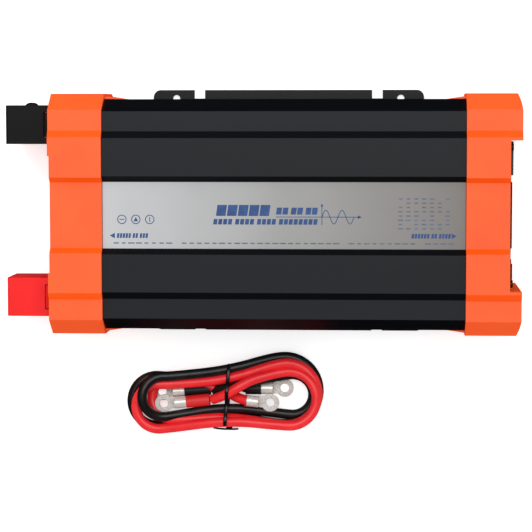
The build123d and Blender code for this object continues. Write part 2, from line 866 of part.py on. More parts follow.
def ring_on_stud(radius, y, start, thickness):
    ring = rod_x(radius, start - thickness, start, y, terminal_z)
    return ring - rod_x(stud_radius + fit_clearance, start - thickness, start, y, terminal_z)


def terminal_nut(y):
    start = base_face - washer_thickness - spring_washer_thickness
    nut = hex_x(nut_across_flats, start - nut_height, start, y, terminal_z)
    return nut - rod_x(stud_radius + fit_clearance, start - nut_height, start, y, terminal_z)


def cover_pin(y):
    """Hinge pin, pressed in the base's lug and turning in the cover's two sides."""
    reach = cover_width / 2
    return rod_y(cover_pin_radius, pivot_x, y - reach, y + reach, pivot_z)


def terminal_cover(y, outward):
    """Hood over the stud, open below and behind; its rolled back edge has a window for the hinge lug."""
    half = cover_width / 2
    hood = block(cover_end, pivot_x, y - half, y + half, cover_bottom, cover_top)
    hood += rod_y(cover_pivot_radius, pivot_x, y - half, y + half, pivot_z)
    hood += block(pivot_x, pivot_x + cover_pivot_radius, y - half, y + half, cover_bottom, pivot_z)
    corner = hood.edges().filter_by(Axis.Y).group_by(Axis.X)[0].group_by(Axis.Z)[-1]
    hood = fillet(corner, cover_corner)
    inner = half - cover_wall
    under = cover_top - cover_wall
    hollow = block(cover_end + cover_wall, pivot_x, y - inner, y + inner, cover_bottom, under)
    hollow += rod_y(cover_pivot_radius - cover_wall, pivot_x, y - inner, y + inner, pivot_z)
    hollow += block(pivot_x, pivot_x + cover_pivot_radius, y - inner, y + inner, cover_bottom, pivot_z)
    hood -= hollow
    window = hinge_lug_half + cover_gap
    hood -= block(pivot_x - cover_gap, pivot_x + cover_pivot_radius, y - window, y + window, pivot_z,
                  cover_top)
    entry = cable_entry_width / 2
    arch_z = cover_bottom + cable_entry_height - entry
    hood -= block(cover_end, cover_end + cover_wall, y - entry, y + entry, cover_bottom, arch_z)
    hood -= rod_x(entry, cover_end, cover_end + cover_wall, y, arch_z)
    hood -= rod_y(cover_pin_radius + fit_clearance, pivot_x, y - half, y + half, pivot_z)
    return hood + press_rib(y, outward)


def press_rib(y, outward):
    """Low rounded rib on the cover's outer side, low down, for the thumb."""
    side = y + outward * cover_width / 2
    middle = (cover_end + pivot_x) / 2
    radius = (rib_length ** 2 / 4 + rib_proud ** 2) / (2 * rib_proud)
    centre = side - outward * (radius - rib_proud)
    rib = rod_z(radius, middle, centre, cover_bottom + rib_low, cover_bottom + rib_high)
    far = side + outward * rib_proud
    return rib & block(middle - rib_length, middle + rib_length, min(side, far), max(side, far),
                       cover_bottom, cover_top)


# ---- Fans ----
def fan_frame(side):
    x0 = battery_inner
    x1 = x0 + fan_depth
    y = side * fan_y
    half = fan_size / 2
    frame = block(x0, x1, y - half, y + half, fan_z - half, fan_z + half)
    frame -= rod_x(fan_bore, x0, x1, y, fan_z)
    hub = rod_x(fan_hub + fan_motor_margin, x1 - fan_strut, x1, y, fan_z)
    reach = fan_bore + fan_strut / 2
    for number in range(fan_strut_count):
        turn = 360 / fan_strut_count * (number + 0.25)
        strut = Pos(x1 - fan_strut / 2, 0, reach / 2) * Box(fan_strut, fan_strut, reach)
        hub += Pos(0, y, fan_z) * Rot(turn, 0, 0) * strut
    frame += hub & block(x0, x1, y - half, y + half, fan_z - half, fan_z + half)
    frame -= rod_x(fan_shaft + fit_clearance, x1 - fan_strut, shaft_end() + fan_shaft_end_gap, y, fan_z)
    for hole_y, hole_z in fan_screw_places(side):
        frame -= rod_x(fan_screw_radius + screw_clearance, x0, x1, hole_y, hole_z)
    return frame


def hub_end():
    """Inner end of the rotor's hub, clear of the struts."""
    return battery_inner + fan_depth - fan_strut - blade_root


def shaft_end():
    return hub_end() + fan_shaft_length


def fan_rotor(side):
    x0 = battery_inner
    y = side * fan_y
    rotor = rod_x(fan_hub, x0 + fan_hub_setback, hub_end(), y, fan_z)
    rotor += rod_x(fan_shaft, hub_end(), shaft_end(), y, fan_z)
    tip = fan_bore - fan_tip_clearance
    middle = (x0 + fan_hub_setback + hub_end()) / 2
    for number in range(blade_count):
        blade = Box(blade_thickness, blade_chord, tip - fan_hub + blade_root)
        blade = Pos(middle, 0, (tip + fan_hub - blade_root) / 2) * Rot(0, 0, blade_pitch) * blade
        rotor += Pos(0, y, fan_z) * Rot(360 / blade_count * number, 0, 0) * blade
    return rotor & rod_x(tip, x0, x0 + fan_depth, y, fan_z)


def fan_screws():
    result = []
    for side in (-1, 1):
        for y, z in fan_screw_places(side):
            screw = rod_x(fan_screw_radius, guard_seat(), guard_seat() + fan_screw_length, y, z)
            screw += rod_x(fan_screw_head, guard_seat() - fan_screw_head_height, guard_seat(), y, z)
            result.append(screw)
    return result


def guard_seat():
    """Plane on which the fan screws' heads sit, outside the guard's mounting tabs."""
    return bay_face - guard_wire


def fan_guard(side):
    """Wire finger guard: rings, crossed wires and four tabs under the screws."""
    y = side * fan_y
    middle = bay_face - guard_wire / 2
    guard = None
    for radius in [fan_bore - setback for setback in guard_ring_setbacks]:
        ring = rod_x(radius + guard_wire, middle - guard_wire / 2, middle + guard_wire / 2, y, fan_z)
        ring -= rod_x(radius - guard_wire, middle - guard_wire / 2, middle + guard_wire / 2, y, fan_z)
        guard = ring if guard is None else guard + ring
    reach = fan_hole_pitch / math.sqrt(2)
    for turn in (45, 135):
        bar = Box(guard_wire, 2 * guard_wire, 2 * reach)
        guard += Pos(middle, y, fan_z) * Rot(turn, 0, 0) * bar
    for hole_y, hole_z in fan_screw_places(side):
        guard += rod_x(fan_screw_head, middle - guard_wire / 2, middle + guard_wire / 2, hole_y, hole_z)
    for hole_y, hole_z in fan_screw_places(side):
        guard -= rod_x(fan_screw_radius + screw_clearance, middle - guard_wire, middle + guard_wire, hole_y,
                       hole_z)
    return guard


# ---- Circuit board and power parts ----
def standoff_places():
    return [(x, side * standoff_y) for x in (-standoff_x, 0.0, standoff_x) for side in (-1, 1)]


def circuit_board():
    board = block(board_front, board_back, -board_half, board_half, board_z, board_top)
    for x, y in standoff_places():
        board -= rod_z(board_screw_radius + screw_clearance, x, y, board_z, board_top)
    return board


def standoffs():
    result = []
    for x, y in standoff_places():
        post = rod_z(standoff_radius, x, y, floor_top, board_z)
        result.append(post - rod_z(board_screw_radius + screw_clearance, x, y, floor_top, board_z))
    return result


def board_screws():
    result = []
    for x, y in standoff_places():
        screw = rod_z(board_screw_radius, x, y, plate_thickness + board_screw_setback, board_top)
        result.append(screw + rod_z(board_screw_head, x, y, board_top, board_top + board_screw_head_height))
    return result


def heatsink_span():
    middle = (board_front + board_back) / 2 + heatsink_shift
    return middle - heatsink_length / 2, middle + heatsink_length / 2


def heatsink(side):
    """Upright base with level fins pointing outwards, cut away over the board's screws."""
    x0, x1 = heatsink_span()
    low = board_top
    inner = side * (heatsink_y - heatsink_base)
    outer = side * heatsink_y
    sink = block(x0, x1, min(inner, outer), max(inner, outer), low, low + heatsink_height)
    pitch = (heatsink_height - fin_thickness) / (heatsink_fins - 1)
    for number in range(1, heatsink_fins):
        z = low + number * pitch
        tip = side * (heatsink_y + fin_length)
        sink += block(x0, x1, min(outer, tip), max(outer, tip), z, z + fin_thickness)
    for x, y in standoff_places():
        sink -= rod_z(board_screw_head + heatsink_relief, x, y, low,
                      low + board_screw_head_height + heatsink_relief)
    return sink


def mosfets(side):
    x0, x1 = heatsink_span()
    pitch = (x1 - x0) / mosfet_count
    face = side * (heatsink_y - heatsink_base)
    front = face - side * mosfet_thickness
    middle = (face + front) / 2
    low = board_top + mosfet_leg_length
    result = []
    for number in range(mosfet_count):
        x = x0 + pitch * (number + 0.5)
        body = block(x - mosfet_half, x + mosfet_half, min(face, front), max(face, front), low,
                     low + mosfet_height)
        for leg in (-mosfet_leg_pitch, 0.0, mosfet_leg_pitch):
            body += block(x + leg - mosfet_leg_half, x + leg + mosfet_leg_half,
                          middle - mosfet_leg_thickness / 2, middle + mosfet_leg_thickness / 2,
                          board_top, low)
        result.append(body)
    return result


def transformer_core(side):
    y = side * transformer_y
    x0 = transformer_x - core_length / 2
    x1 = transformer_x + core_length / 2
    core = block(x0, x1, y - core_half, y + core_half, core_low, core_low + core_height)
    for sign in (-1, 1):
        near = transformer_x + sign * core_limb
        far = transformer_x + sign * (core_limb + core_window)
        core -= block(min(near, far), max(near, far), y - core_half, y + core_half, core_low + core_limb,
                      core_low + core_height - core_limb)
    return core


def transformer_winding(side):
    """Bobbin and winding round the middle limb, standing on the board."""
    y = side * transformer_y
    reach = core_limb + core_window
    half = core_width / 2
    low = core_low + core_limb
    high = core_low + core_height - core_limb
    coil = block(transformer_x - reach, transformer_x + reach, y - half, y + half, low, high)
    coil -= block(transformer_x - core_limb, transformer_x + core_limb, y - core_half, y + core_half,
                  low, high)
    for sign in (-1, 1):
        near = y + sign * (core_half + bobbin_wall)
        far = y + sign * half
        coil += block(transformer_x - reach, transformer_x + reach, min(near, far), max(near, far), board_top,
                      low)
    return coil


def cans(radius, height, places):
    """Capacitor cans standing on the board, each with a slightly smaller crimped neck."""
    result = []
    for x, y in places:
        low = board_top + can_neck_low
        high = low + can_neck_height
        neck = rod_z(radius, x, y, low, high) - rod_z(radius - can_neck_depth, x, y, low, high)
        result.append(rod_z(radius, x, y, board_top, board_top + height) - neck)
    return result


def input_capacitors():
    x = board_front + input_can_inset
    pitch = 2 * input_can_radius + input_can_gap
    places = [(x, pitch * (number - (input_can_count - 1) / 2)) for number in range(input_can_count)]
    return cans(input_can_radius, input_can_height, places)


def bus_capacitors():
    x = transformer_x + core_length / 2 + bus_can_radius + bus_can_offset
    places = [(x, side * (bus_can_radius + bus_can_gap)) for side in (-1, 1)]
    return cans(bus_can_radius, bus_can_height, places)


def output_choke():
    x = board_back - choke_inset
    ring = Torus(choke_radius - choke_ring, choke_ring)
    choke = Pos(x, choke_y, board_top + choke_radius) * Rot(90, 0, 0) * ring
    return choke + block(x - choke_foot_half_x, x + choke_foot_half_x, choke_y - choke_foot_half_y,
                         choke_y + choke_foot_half_y, board_top, board_top + choke_foot_height)


def control_board():
    rear = card_y + card_thickness
    low = board_top + chip_low
    card = block(card_start, card_start + card_length, card_y, rear, board_top, board_top + card_height)
    for number in range(chip_count):
        start = card_start + chip_start + chip_pitch * number
        card += block(start, start + chip_size, rear, rear + card_thickness, low, low + chip_size)
    return card


def blade_fuses():
    x = board_front + fuse_inset
    result = []
    for number in range(fuse_count):
        y = fuse_pitch * (number - (fuse_count - 1) / 2)
        result.append(block(x - fuse_half_x, x + fuse_half_x, y - fuse_half_y, y + fuse_half_y, board_top,
                            board_top + fuse_height))
    return result


def bus_bar(y):
    """Copper strip from the stud's inner end, along over the cap screws and down to the board."""
    start = battery_inner + stud_collar
    low = board_top + bar_rise
    end = board_front + bar_board_inset
    inner = math.copysign(fan_bay_half + bar_fan_gap, y)
    outer = math.copysign(board_half - bar_foot_inset, y)
    far = math.copysign(side_half - housing_wall - bar_side_gap, y)
    bar = block(start, start + bar_thickness, y - bar_half, y + bar_half, low, terminal_z + bar_half)
    bar += block(start, end, min(inner, far), max(inner, far), low, low + bar_thickness)
    bar += block(end - bar_thickness, end, min(inner, outer), max(inner, outer), board_top, low)
    return bar - rod_x(stud_radius + screw_clearance, start, start + bar_thickness, y, terminal_z)


def nameplate():
    half = recess_half - label_margin_y
    reach = housing_half - label_margin_x
    return block(-reach, reach, -half, half, recess_top, recess_top + label_thickness)


# ---- Battery leads ----
def racetrack(x0, x1, y0, y1):
    """A flat outline with fully rounded ends."""
    width = x1 - x0
    depth = y1 - y0
    radius = min(width, depth) / 2 * round_share
    return Pos((x0 + x1) / 2, (y0 + y1) / 2) * RectangleRounded(width, depth, radius)


def lead_layer(bottom):
    """One layer of the oval coil: a ring of turns gathered into a waist at the tie."""
    outer = racetrack(coil_left, coil_right, coil_front, coil_rear)
    inner = racetrack(coil_left + coil_band, coil_right - coil_band, coil_front + coil_band,
                      coil_rear - coil_band)
    y0, y1 = tie_span()
    waist = Pos(tie_x, (y0 + y1) / 2) * Rectangle(2 * waist_half, y1 - y0)
    outline = outer - inner + waist
    for y in (y0 - tie_nip / 2, y1 + tie_nip / 2):
        outline -= Pos(tie_x, y) * Rectangle(tie_width + tie_slack, tie_nip)
    return extrude(Plane.XY.offset(bottom) * outline, amount=lead_diameter)


def tie_span():
    """Front and rear of the gathered waist under the tie."""
    return coil_front + tie_nip, coil_rear - tie_nip


def cable_tie():
    """Flat strap round both layers at the waist, with its head in front and a short tail."""
    y0, y1 = tie_span()
    top = 2 * lead_diameter
    x0 = tie_x - tie_width / 2
    x1 = tie_x + tie_width / 2
    strap = block(x0, x1, y0 - tie_thickness, y1 + tie_thickness, 0.0, top + tie_thickness)
    strap -= block(x0, x1, y0, y1, 0.0, top)
    face = y0 - tie_thickness
    head = block(x0 - tie_head_overhang, x1 + tie_head_overhang, face - tie_head_depth, face, tie_head_low,
                 tie_head_high)
    tail = block(x0 + tie_tail_inset, x1 - tie_tail_inset, face - tie_tail_gap - tie_tail_thickness,
                 face - tie_tail_gap, 0.0, tie_head_low)
    return strap + head + tail


def ring_lug(x, y, heading, bottom):
    """Crimp lug: a flat ring, a flattened neck and a round barrel."""
    axis = lug_barrel_radius
    lug = rod_z(lug_ring_radius, 0.0, 0.0, 0.0, lug_thickness)
    start = lug_barrel_start
    lug += block(0.0, start + lug_neck_lap, -lug_barrel_radius, lug_barrel_radius, 0.0, lug_thickness)
    lug += rod_x(lug_barrel_radius, start, start + lug_barrel_length, 0.0, axis)
    lug -= rod_z(lug_hole_radius, 0.0, 0.0, 0.0, lug_thickness)
    return Pos(x, y, bottom) * Rot(0, 0, heading) * lug


def lug_sleeve(x, y, heading, bottom, end):
    """Shrink sleeve from the lug's barrel to the face of the gathered coil."""
    start = lug_barrel_start + lug_barrel_length
    return Pos(x, y, bottom) * Rot(0, 0, heading) * rod_x(sleeve_radius, start, end, 0.0, sleeve_radius)


def sleeve_reach(x, heading):
    """Distance along the lug's heading from its ring to just inside the waist's side."""
    side = -1 if abs(heading) < 90 else 1
    wall = tie_x + side * (waist_half + sleeve_tuck)
    return abs(wall - x) / abs(math.cos(math.radians(heading)))


def save(name, shape):
    if isinstance(shape, list):
        shape = Compound(children=[Part(item.wrapped) for item in shape])
    export_step(shape, f"parts/{name}.step")


def main():
    os.makedirs("parts", exist_ok=True)
    save("top_housing", top_housing())
    save("base_housing", base_housing())
    save("mounting_plate", mounting_plate())
    save("mounting_plate_screws", mounting_plate_screws())
    save("nameplate", nameplate())
    save("battery_end_cap", battery_cap())
    save("mains_end_cap", mains_cap())
    save("cap_screws", cap_screws(-1) + cap_screws(1))
    for name, side in (("front", -1), ("rear", 1)):
        save(f"{name}_fan_frame", fan_frame(side))
        save(f"{name}_fan_rotor", fan_rotor(side))
        save(f"{name}_heatsink", heatsink(side))
    save("fan_guards", [fan_guard(side) for side in (-1, 1)])
    save("fan_screws", fan_screws())
    save("mosfets", mosfets(-1) + mosfets(1))
    save("transformer_cores", [transformer_core(side) for side in (-1, 1)])
    save("transformer_windings", [transformer_winding(side) for side in (-1, 1)])
    for name, y, outward in (("negative", negative_y, 1), ("positive", positive_y, -1)):
        save(f"{name}_terminal_base", terminal_base(y))
        save(f"{name}_terminal_cover", terminal_cover(y, outward))
        save(f"{name}_bus_bar", bus_bar(y))
    terminals = (negative_y, positive_y)
    spring_face = base_face - washer_thickness
    save("terminal_studs", [terminal_stud(y) for y in terminals])
    save("terminal_washers", [ring_on_stud(washer_radius, y, base_face, washer_thickness) for y in terminals])
    save("terminal_spring_washers",
         [ring_on_stud(spring_washer_radius, y, spring_face, spring_washer_thickness) for y in terminals])
    save("terminal_nuts", [terminal_nut(y) for y in terminals])
    save("cover_pins", [cover_pin(y) for y in terminals])
    save("mains_panel", mains_panel())
    save("panel_screws", panel_screws())
    save("ground_screw", ground_screw())
    save("ground_washer", ground_washer())
    save("outlet_body", outlet_body())
    save("outlet_contacts", outlet_contacts())
    save("switch_body", switch_body())
    save("switch_rocker", rocker())
    save("usb_module", usb_module())
    save("usb_tongues", usb_tongues())
    save("power_lamp", indicator_lamp(-lamp_spread))
    save("fault_lamp", indicator_lamp(lamp_spread))
    save("circuit_board", circuit_board())
    save("board_standoffs", standoffs())
    save("board_screws", board_screws())
    save("input_capacitors", input_capacitors())
    save("bus_capacitors", bus_capacitors())
    save("output_choke", output_choke())
    save("control_board", control_board())
    save("blade_fuses", blade_fuses())
    save("cable_tie", cable_tie())
    layers = {"black": lead_layer(0.0), "red": lead_layer(lead_diameter)}
    sleeves = {"black": [], "red": []}
    for name, (x, y, heading, bottom) in lugs.items():
        sleeve = lug_sleeve(x, y, heading, bottom, sleeve_reach(x, heading))
        for colour in layers:
            layers[colour] -= sleeve
            sleeves[colour] += [sleeve] if name.startswith(colour) else []
        save(name, ring_lug(x, y, heading, bottom))
    for colour, layer in layers.items():
        save(f"{colour}_lead", layer)
        save(f"{colour}_sleeves", sleeves[colour])


main()
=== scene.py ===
import math

import bmesh
import bpy
from mathutils import Matrix, Vector


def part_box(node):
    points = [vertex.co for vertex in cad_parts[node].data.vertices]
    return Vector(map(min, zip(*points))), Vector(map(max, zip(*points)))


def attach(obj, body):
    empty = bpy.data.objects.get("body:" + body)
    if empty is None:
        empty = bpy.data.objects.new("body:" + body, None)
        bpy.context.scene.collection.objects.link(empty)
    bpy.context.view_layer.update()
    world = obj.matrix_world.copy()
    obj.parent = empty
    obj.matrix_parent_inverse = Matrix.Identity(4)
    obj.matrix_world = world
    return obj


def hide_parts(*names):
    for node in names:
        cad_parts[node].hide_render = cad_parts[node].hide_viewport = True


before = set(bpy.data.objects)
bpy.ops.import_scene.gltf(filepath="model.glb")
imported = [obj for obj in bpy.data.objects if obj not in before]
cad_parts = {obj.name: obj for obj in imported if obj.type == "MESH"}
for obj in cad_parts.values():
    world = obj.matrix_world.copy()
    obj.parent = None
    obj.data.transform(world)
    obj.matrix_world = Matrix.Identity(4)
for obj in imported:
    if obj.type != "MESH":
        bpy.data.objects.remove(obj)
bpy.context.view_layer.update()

bl_info = {
    "name": "Power inverter looks",
    "version": (1, 0, 0),
    "blender": (4, 5, 0),
    "location": "View3D > Sidebar > Inverter",
    "description": "Finishes, printed nameplate, fasteners and battery leads for a power inverter",
    "category": "Object",
}

MM = 0.001
HOUSING_BODY = "inverter"
LEADS_BODY = "battery_leads"


# ---------------------------------------------------------------- small helpers
def linear(hex_colour):
    """An sRGB hex colour as the linear RGBA that shaders take."""
    digits = hex_colour.lstrip("#")
    values = [int(digits[i:i + 2], 16) / 255 for i in (0, 2, 4)]
    return tuple(v / 12.92 if v <= 0.04045 else ((v + 0.055) / 1.055) ** 2.4 for v in values) + (1.0,)


def node(tree, kind, settings=None, links=None):
    """Adds a node, sets its attributes or sockets by name, and links its inputs."""
    made = tree.nodes.new(kind)
    for key, value in (settings or {}).items():
        if isinstance(key, str) and hasattr(made, key):
            setattr(made, key, value)
        else:
            made.inputs[key].default_value = value
    for key, socket in (links or {}).items():
        tree.links.new(socket, made.inputs[key])
    return made


def new_mesh_object(name, bm):
    """A bmesh as a new object at the origin."""
    mesh = bpy.data.meshes.new(name)
    bm.to_mesh(mesh)
    bm.free()
    made = bpy.data.objects.new(name, mesh)
    bpy.context.scene.collection.objects.link(made)
    return made


# ---------------------------------------------------------------- finishes
NOISE_RANGE = {"From Min": 0.3, "From Max": 0.7}
GRAIN_RANGE = {"From Min": 0.25, "From Max": 0.75}
SMOOTHER = 0.06             # how far the grain lowers and raises a finish's roughness
ROUGHER = 0.08
EDGE_RANGE = {"From Min": 0.98, "From Max": 0.80, "To Max": 0.55}
# Upward normals in this range fade in the painted highlight on level faces
PAINTED_HIGHLIGHT_RANGE = {"From Min": 0.93, "From Max": 0.99}


def finish(name, dark, light, rough, metallic=0.0, grain_mm=0.6, depth_mm=0.01, patch_mm=30.0, specular=0.5,
           coat=0.0, relief=0.6, edge_mm=0.35, stretch=(1.0, 1.0, 1.0), edge_light=None, painted_highlight=None):
    """One finish: patches of tone, grain in the bump and roughness, soft edges, and a painted highlight of
    the overhead light on level faces.
    """
    made = bpy.data.materials.new(name)
    made.use_nodes = True
    tree = made.node_tree
    shader = tree.nodes["Principled BSDF"]
    shader.inputs["Metallic"].default_value = metallic
    shader.inputs["Specular IOR Level"].default_value = specular
    shader.inputs["Coat Weight"].default_value = coat
    place = node(tree, "ShaderNodeTexCoord").outputs["Object"]
    place = node(tree, "ShaderNodeMapping", {"Scale": stretch}, {"Vector": place}).outputs["Vector"]
    patches = node(tree, "ShaderNodeTexNoise", {"Scale": 1 / (patch_mm * MM), "Detail": 3.0},
                   {"Vector": place})
    grain = node(tree, "ShaderNodeTexNoise", {"Scale": 1 / (grain_mm * MM), "Detail": 4.0, "Roughness": 0.6},
                 {"Vector": place})
    tone = node(tree, "ShaderNodeMapRange", NOISE_RANGE, {"Value": patches.outputs["Fac"]})
    colour = node(tree, "ShaderNodeMix", {"data_type": "RGBA", 6: linear(dark), 7: linear(light)},
                  {0: tone.outputs["Result"]}).outputs[2]
    rounded = node(tree, "ShaderNodeBevel", {"samples": 4, "Radius": edge_mm * MM})
    if edge_light:
        geometry = node(tree, "ShaderNodeNewGeometry")
        bend = node(tree, "ShaderNodeVectorMath", {"operation": "DOT_PRODUCT"},
                    {0: rounded.outputs["Normal"], 1: geometry.outputs["Normal"]})
        edge = node(tree, "ShaderNodeMapRange", EDGE_RANGE, {"Value": bend.outputs["Value"]})
        broken = node(tree, "ShaderNodeMath", {"operation": "MULTIPLY"},
                      {0: edge.outputs["Result"], 1: grain.outputs["Fac"]})
        colour = node(tree, "ShaderNodeMix", {"data_type": "RGBA", 7: linear(edge_light)},
                      {0: broken.outputs["Value"], 6: colour}).outputs[2]
    # Painted highlight: faces that point up are mixed towards a pale colour, standing in for the overhead
    # light
    if painted_highlight:
        normal = node(tree, "ShaderNodeTexCoord").outputs["Normal"]
        upward = node(tree, "ShaderNodeSeparateXYZ", None, {"Vector": normal})
        painted_highlight_mask = node(tree, "ShaderNodeMapRange", {**PAINTED_HIGHLIGHT_RANGE, "To Max": painted_highlight[1]},
                       {"Value": upward.outputs["Z"]})
        colour = node(tree, "ShaderNodeMix", {"data_type": "RGBA", 7: linear(painted_highlight[0])},
                      {0: painted_highlight_mask.outputs["Result"], 6: colour}).outputs[2]
    tree.links.new(colour, shader.inputs["Base Color"])
    roughness = node(tree, "ShaderNodeMapRange",
                     {**GRAIN_RANGE, "To Min": rough - SMOOTHER, "To Max": rough + ROUGHER},
                     {"Value": grain.outputs["Fac"]})
    tree.links.new(roughness.outputs["Result"], shader.inputs["Roughness"])
    bump = node(tree, "ShaderNodeBump", {"Strength": relief, "Distance": depth_mm * MM},
                {"Height": grain.outputs["Fac"], "Normal": rounded.outputs["Normal"]})
    tree.links.new(bump.outputs["Normal"], shader.inputs["Normal"])
    return made


def black_anodised_aluminium():
    """Extruded, blasted and dyed black: a dry satin drawn along its length, with a faint painted highlight
    that makes level faces paler.
    """
    return finish("black_anodised_aluminium", "#07090c", "#0c0e13", 0.42, grain_mm=0.5, depth_mm=0.012,
                  patch_mm=45.0, specular=0.15, stretch=(0.12, 1.0, 1.0), edge_light="#3a3d42",
                  painted_highlight=("#dfe4ee", 0.016))


def black_powder_coat():
    """Baked powder on folded steel: fine orange peel, low gloss."""
    return finish("black_powder_coat", "#101112", "#151617", 0.5, grain_mm=0.9, depth_mm=0.03,
                  specular=0.32, edge_light="#38393b")


def orange_abs():
    """Moulded ABS with a fine spark-eroded texture: bright orange, with a painted highlight that makes it a
    little paler where it lies level.
    """
    return finish("orange_abs", "#fb4f02", "#ff5a06", 0.42, grain_mm=0.55, depth_mm=0.016, patch_mm=60.0,
                  specular=0.18, edge_mm=0.9, edge_light="#ff8a55", painted_highlight=("#fff0e8", 0.034))


def black_nylon():
    """Glass-filled nylon, moulded: nearly black with a faint grey tinge."""
    return finish("black_nylon", "#080809", "#0d0d0e", 0.5, grain_mm=0.5, depth_mm=0.02, edge_mm=0.6,
                  specular=0.22)


def red_nylon():
    """Moulded red nylon: saturated, semi-gloss, a little deeper in its patches."""
    return finish("red_nylon", "#e60a0c", "#f01517", 0.4, specular=0.3, grain_mm=0.6, depth_mm=0.012,
                  edge_mm=0.8)


def grey_blue_plastic():
    """Moulded ABS housing of the USB module, matte grey-blue."""
    return finish("grey_blue_plastic", "#2b3440", "#35404d", 0.5, grain_mm=0.5, depth_mm=0.012)


def rocker_plastic():
    """Polished moulded rocker: dark grey with a clear highlight."""
    return finish("rocker_plastic", "#1b1c1e", "#232427", 0.28, grain_mm=1.2, depth_mm=0.004, edge_mm=0.5)


def black_oxide_steel():
    """Blackened screw steel: dark, slightly oily sheen."""
    return finish("black_oxide_steel", "#1a1a1b", "#2a2a2b", 0.38, metallic=0.6, grain_mm=0.4, depth_mm=0.006)


def zinc_plated_steel():
    """Bright zinc plate: pale grey metal with soft mottling."""
    return finish("zinc_plated_steel", "#a9adb2", "#c6c9cc", 0.3, metallic=1.0, grain_mm=0.8, depth_mm=0.006,
                  patch_mm=4.0)


def turned_brass():
    """Turned brass: warm yellow metal with fine tool marks."""
    return finish("turned_brass", "#b8923f", "#d2ad58", 0.28, metallic=1.0, grain_mm=0.3, depth_mm=0.006,
                  patch_mm=5.0)


def tinned_copper():
    """Hot-tinned copper lug: nearly white, uneven from the dip."""
    return finish("tinned_copper", "#dcd8d0", "#f2f0ec", 0.26, metallic=0.3, grain_mm=2.0, depth_mm=0.001,
                  patch_mm=6.0, edge_mm=0.5, relief=0.1)


def bare_copper():
    """Punched copper bar: pinkish metal with darker handling patches."""
    return finish("bare_copper", "#a85a35", "#cf8158", 0.33, metallic=1.0, grain_mm=0.6, depth_mm=0.008,
                  patch_mm=8.0)


def enamelled_copper():
    """Enamelled magnet wire: deep copper under clear varnish, wound in fine rows."""
    return finish("enamelled_copper", "#7c3414", "#a85022", 0.3, metallic=0.7, grain_mm=0.5, depth_mm=0.05,
                  coat=0.5, stretch=(1.0, 1.0, 3.0))


def solder_mask():
    """Green solder mask over copper: semi-gloss with paler tracks."""
    return finish("solder_mask", "#0d4a24", "#1a6a37", 0.32, grain_mm=1.5, depth_mm=0.02, patch_mm=6.0)


def chip_epoxy():
    """Moulded epoxy of power transistors: matte black."""
    return finish("chip_epoxy", "#161617", "#1f1f20", 0.6, grain_mm=0.3, depth_mm=0.01)


def sintered_ferrite():
    """Ground ferrite core: dark grey, dry and slightly speckled."""
    return finish("sintered_ferrite", "#2b2b2d", "#3a3a3d", 0.62, grain_mm=0.5, depth_mm=0.02, patch_mm=3.0)


def capacitor_sleeve():
    """Shrunk PVC sleeve on the capacitor cans: dark blue, semi-gloss."""
    return finish("capacitor_sleeve", "#10182f", "#18223d", 0.3, grain_mm=1.5, depth_mm=0.01)


def fuse_tint():
    """Clear green moulded blade fuses."""
    return finish("fuse_tint", "#1c8c3a", "#2aa24c", 0.2, grain_mm=1.5, depth_mm=0.004, coat=0.3)


def green_lens():
    """Polished green lamp lens."""
    return finish("green_lens", "#1c9a3f", "#25b04c", 0.12, grain_mm=2.0, depth_mm=0.002, coat=0.5)


def red_lens():
    """Polished red lamp lens."""
    return finish("red_lens", "#b0201a", "#c62a22", 0.12, grain_mm=2.0, depth_mm=0.002, coat=0.5)


def black_pvc_jacket():
    """Soft extruded black PVC: satin, faintly wavy from the coil."""
    return finish("black_pvc_jacket", "#101011", "#1a1a1b", 0.34, grain_mm=2.4, depth_mm=0.06, patch_mm=12.0,
                  edge_mm=0.1)


def red_pvc_jacket():
    """Soft extruded red PVC: satin with a bright line along the top."""
    return finish("red_pvc_jacket", "#e81c24", "#f5282e", 0.34, grain_mm=2.4, depth_mm=0.06, patch_mm=12.0,
                  edge_mm=0.1)


def shrink_sleeve_black():
    """Recovered heat-shrink: matte black with slight lengthways wrinkles."""
    return finish("shrink_sleeve_black", "#0c0c0d", "#151516", 0.5, grain_mm=1.1, depth_mm=0.08)


def shrink_sleeve_red():
    """Recovered heat-shrink: matte red with slight lengthways wrinkles."""
    return finish("shrink_sleeve_red", "#d3171a", "#e22225", 0.48, grain_mm=1.1, depth_mm=0.08)


def tie_nylon():
    """Black nylon strap: semi-gloss."""
    return finish("tie_nylon", "#0b0b0c", "#141415", 0.3, grain_mm=0.8, depth_mm=0.01)


def label_film():
    """Silvered polyester film, satin, with a tone that darkens along it towards the mains end."""
    made = finish("label_film", "#bdbdbe", "#c6c6c7", 0.42, metallic=0.0, grain_mm=0.35, depth_mm=0.003,
                  patch_mm=50.0, specular=0.4, edge_mm=0.05)
    tree = made.node_tree
    shader = tree.nodes["Principled BSDF"]
    low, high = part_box("nameplate")
    place = node(tree, "ShaderNodeTexCoord").outputs["Object"]
    parts = node(tree, "ShaderNodeSeparateXYZ", None, {"Vector": place})
    along = node(tree, "ShaderNodeMapRange", {"From Min": low[0], "From Max": high[0]},
                 {"Value": parts.outputs["X"]})
    ramp = node(tree, "ShaderNodeValToRGB", None, {"Fac": along.outputs["Result"]})
    tones = ramp.color_ramp.elements
    tones[0].color = linear("#bcbdbf")
    tones[1].color = linear("#78736f")
    tones.new(0.5).color = linear("#989897")
    grain = [n for n in tree.nodes if n.bl_idname == "ShaderNodeTexNoise"][0]
    speck = node(tree, "ShaderNodeMapRange", {**NOISE_RANGE, "To Min": 0.96, "To Max": 1.03},
                 {"Value": grain.outputs["Fac"]})
    mixed = node(tree, "ShaderNodeVectorMath", {"operation": "MULTIPLY"},
                 {0: ramp.outputs["Color"], 1: speck.outputs["Result"]})
    tree.links.new(mixed.outputs["Vector"], shader.inputs["Base Color"])
    return made


def print_ink(name, dark, light):
    """Screen-printed ink: flat, slightly uneven in its cover."""
    return finish(name, dark, light, 0.5, grain_mm=0.4, depth_mm=0.002, patch_mm=3.0, edge_mm=0.05)


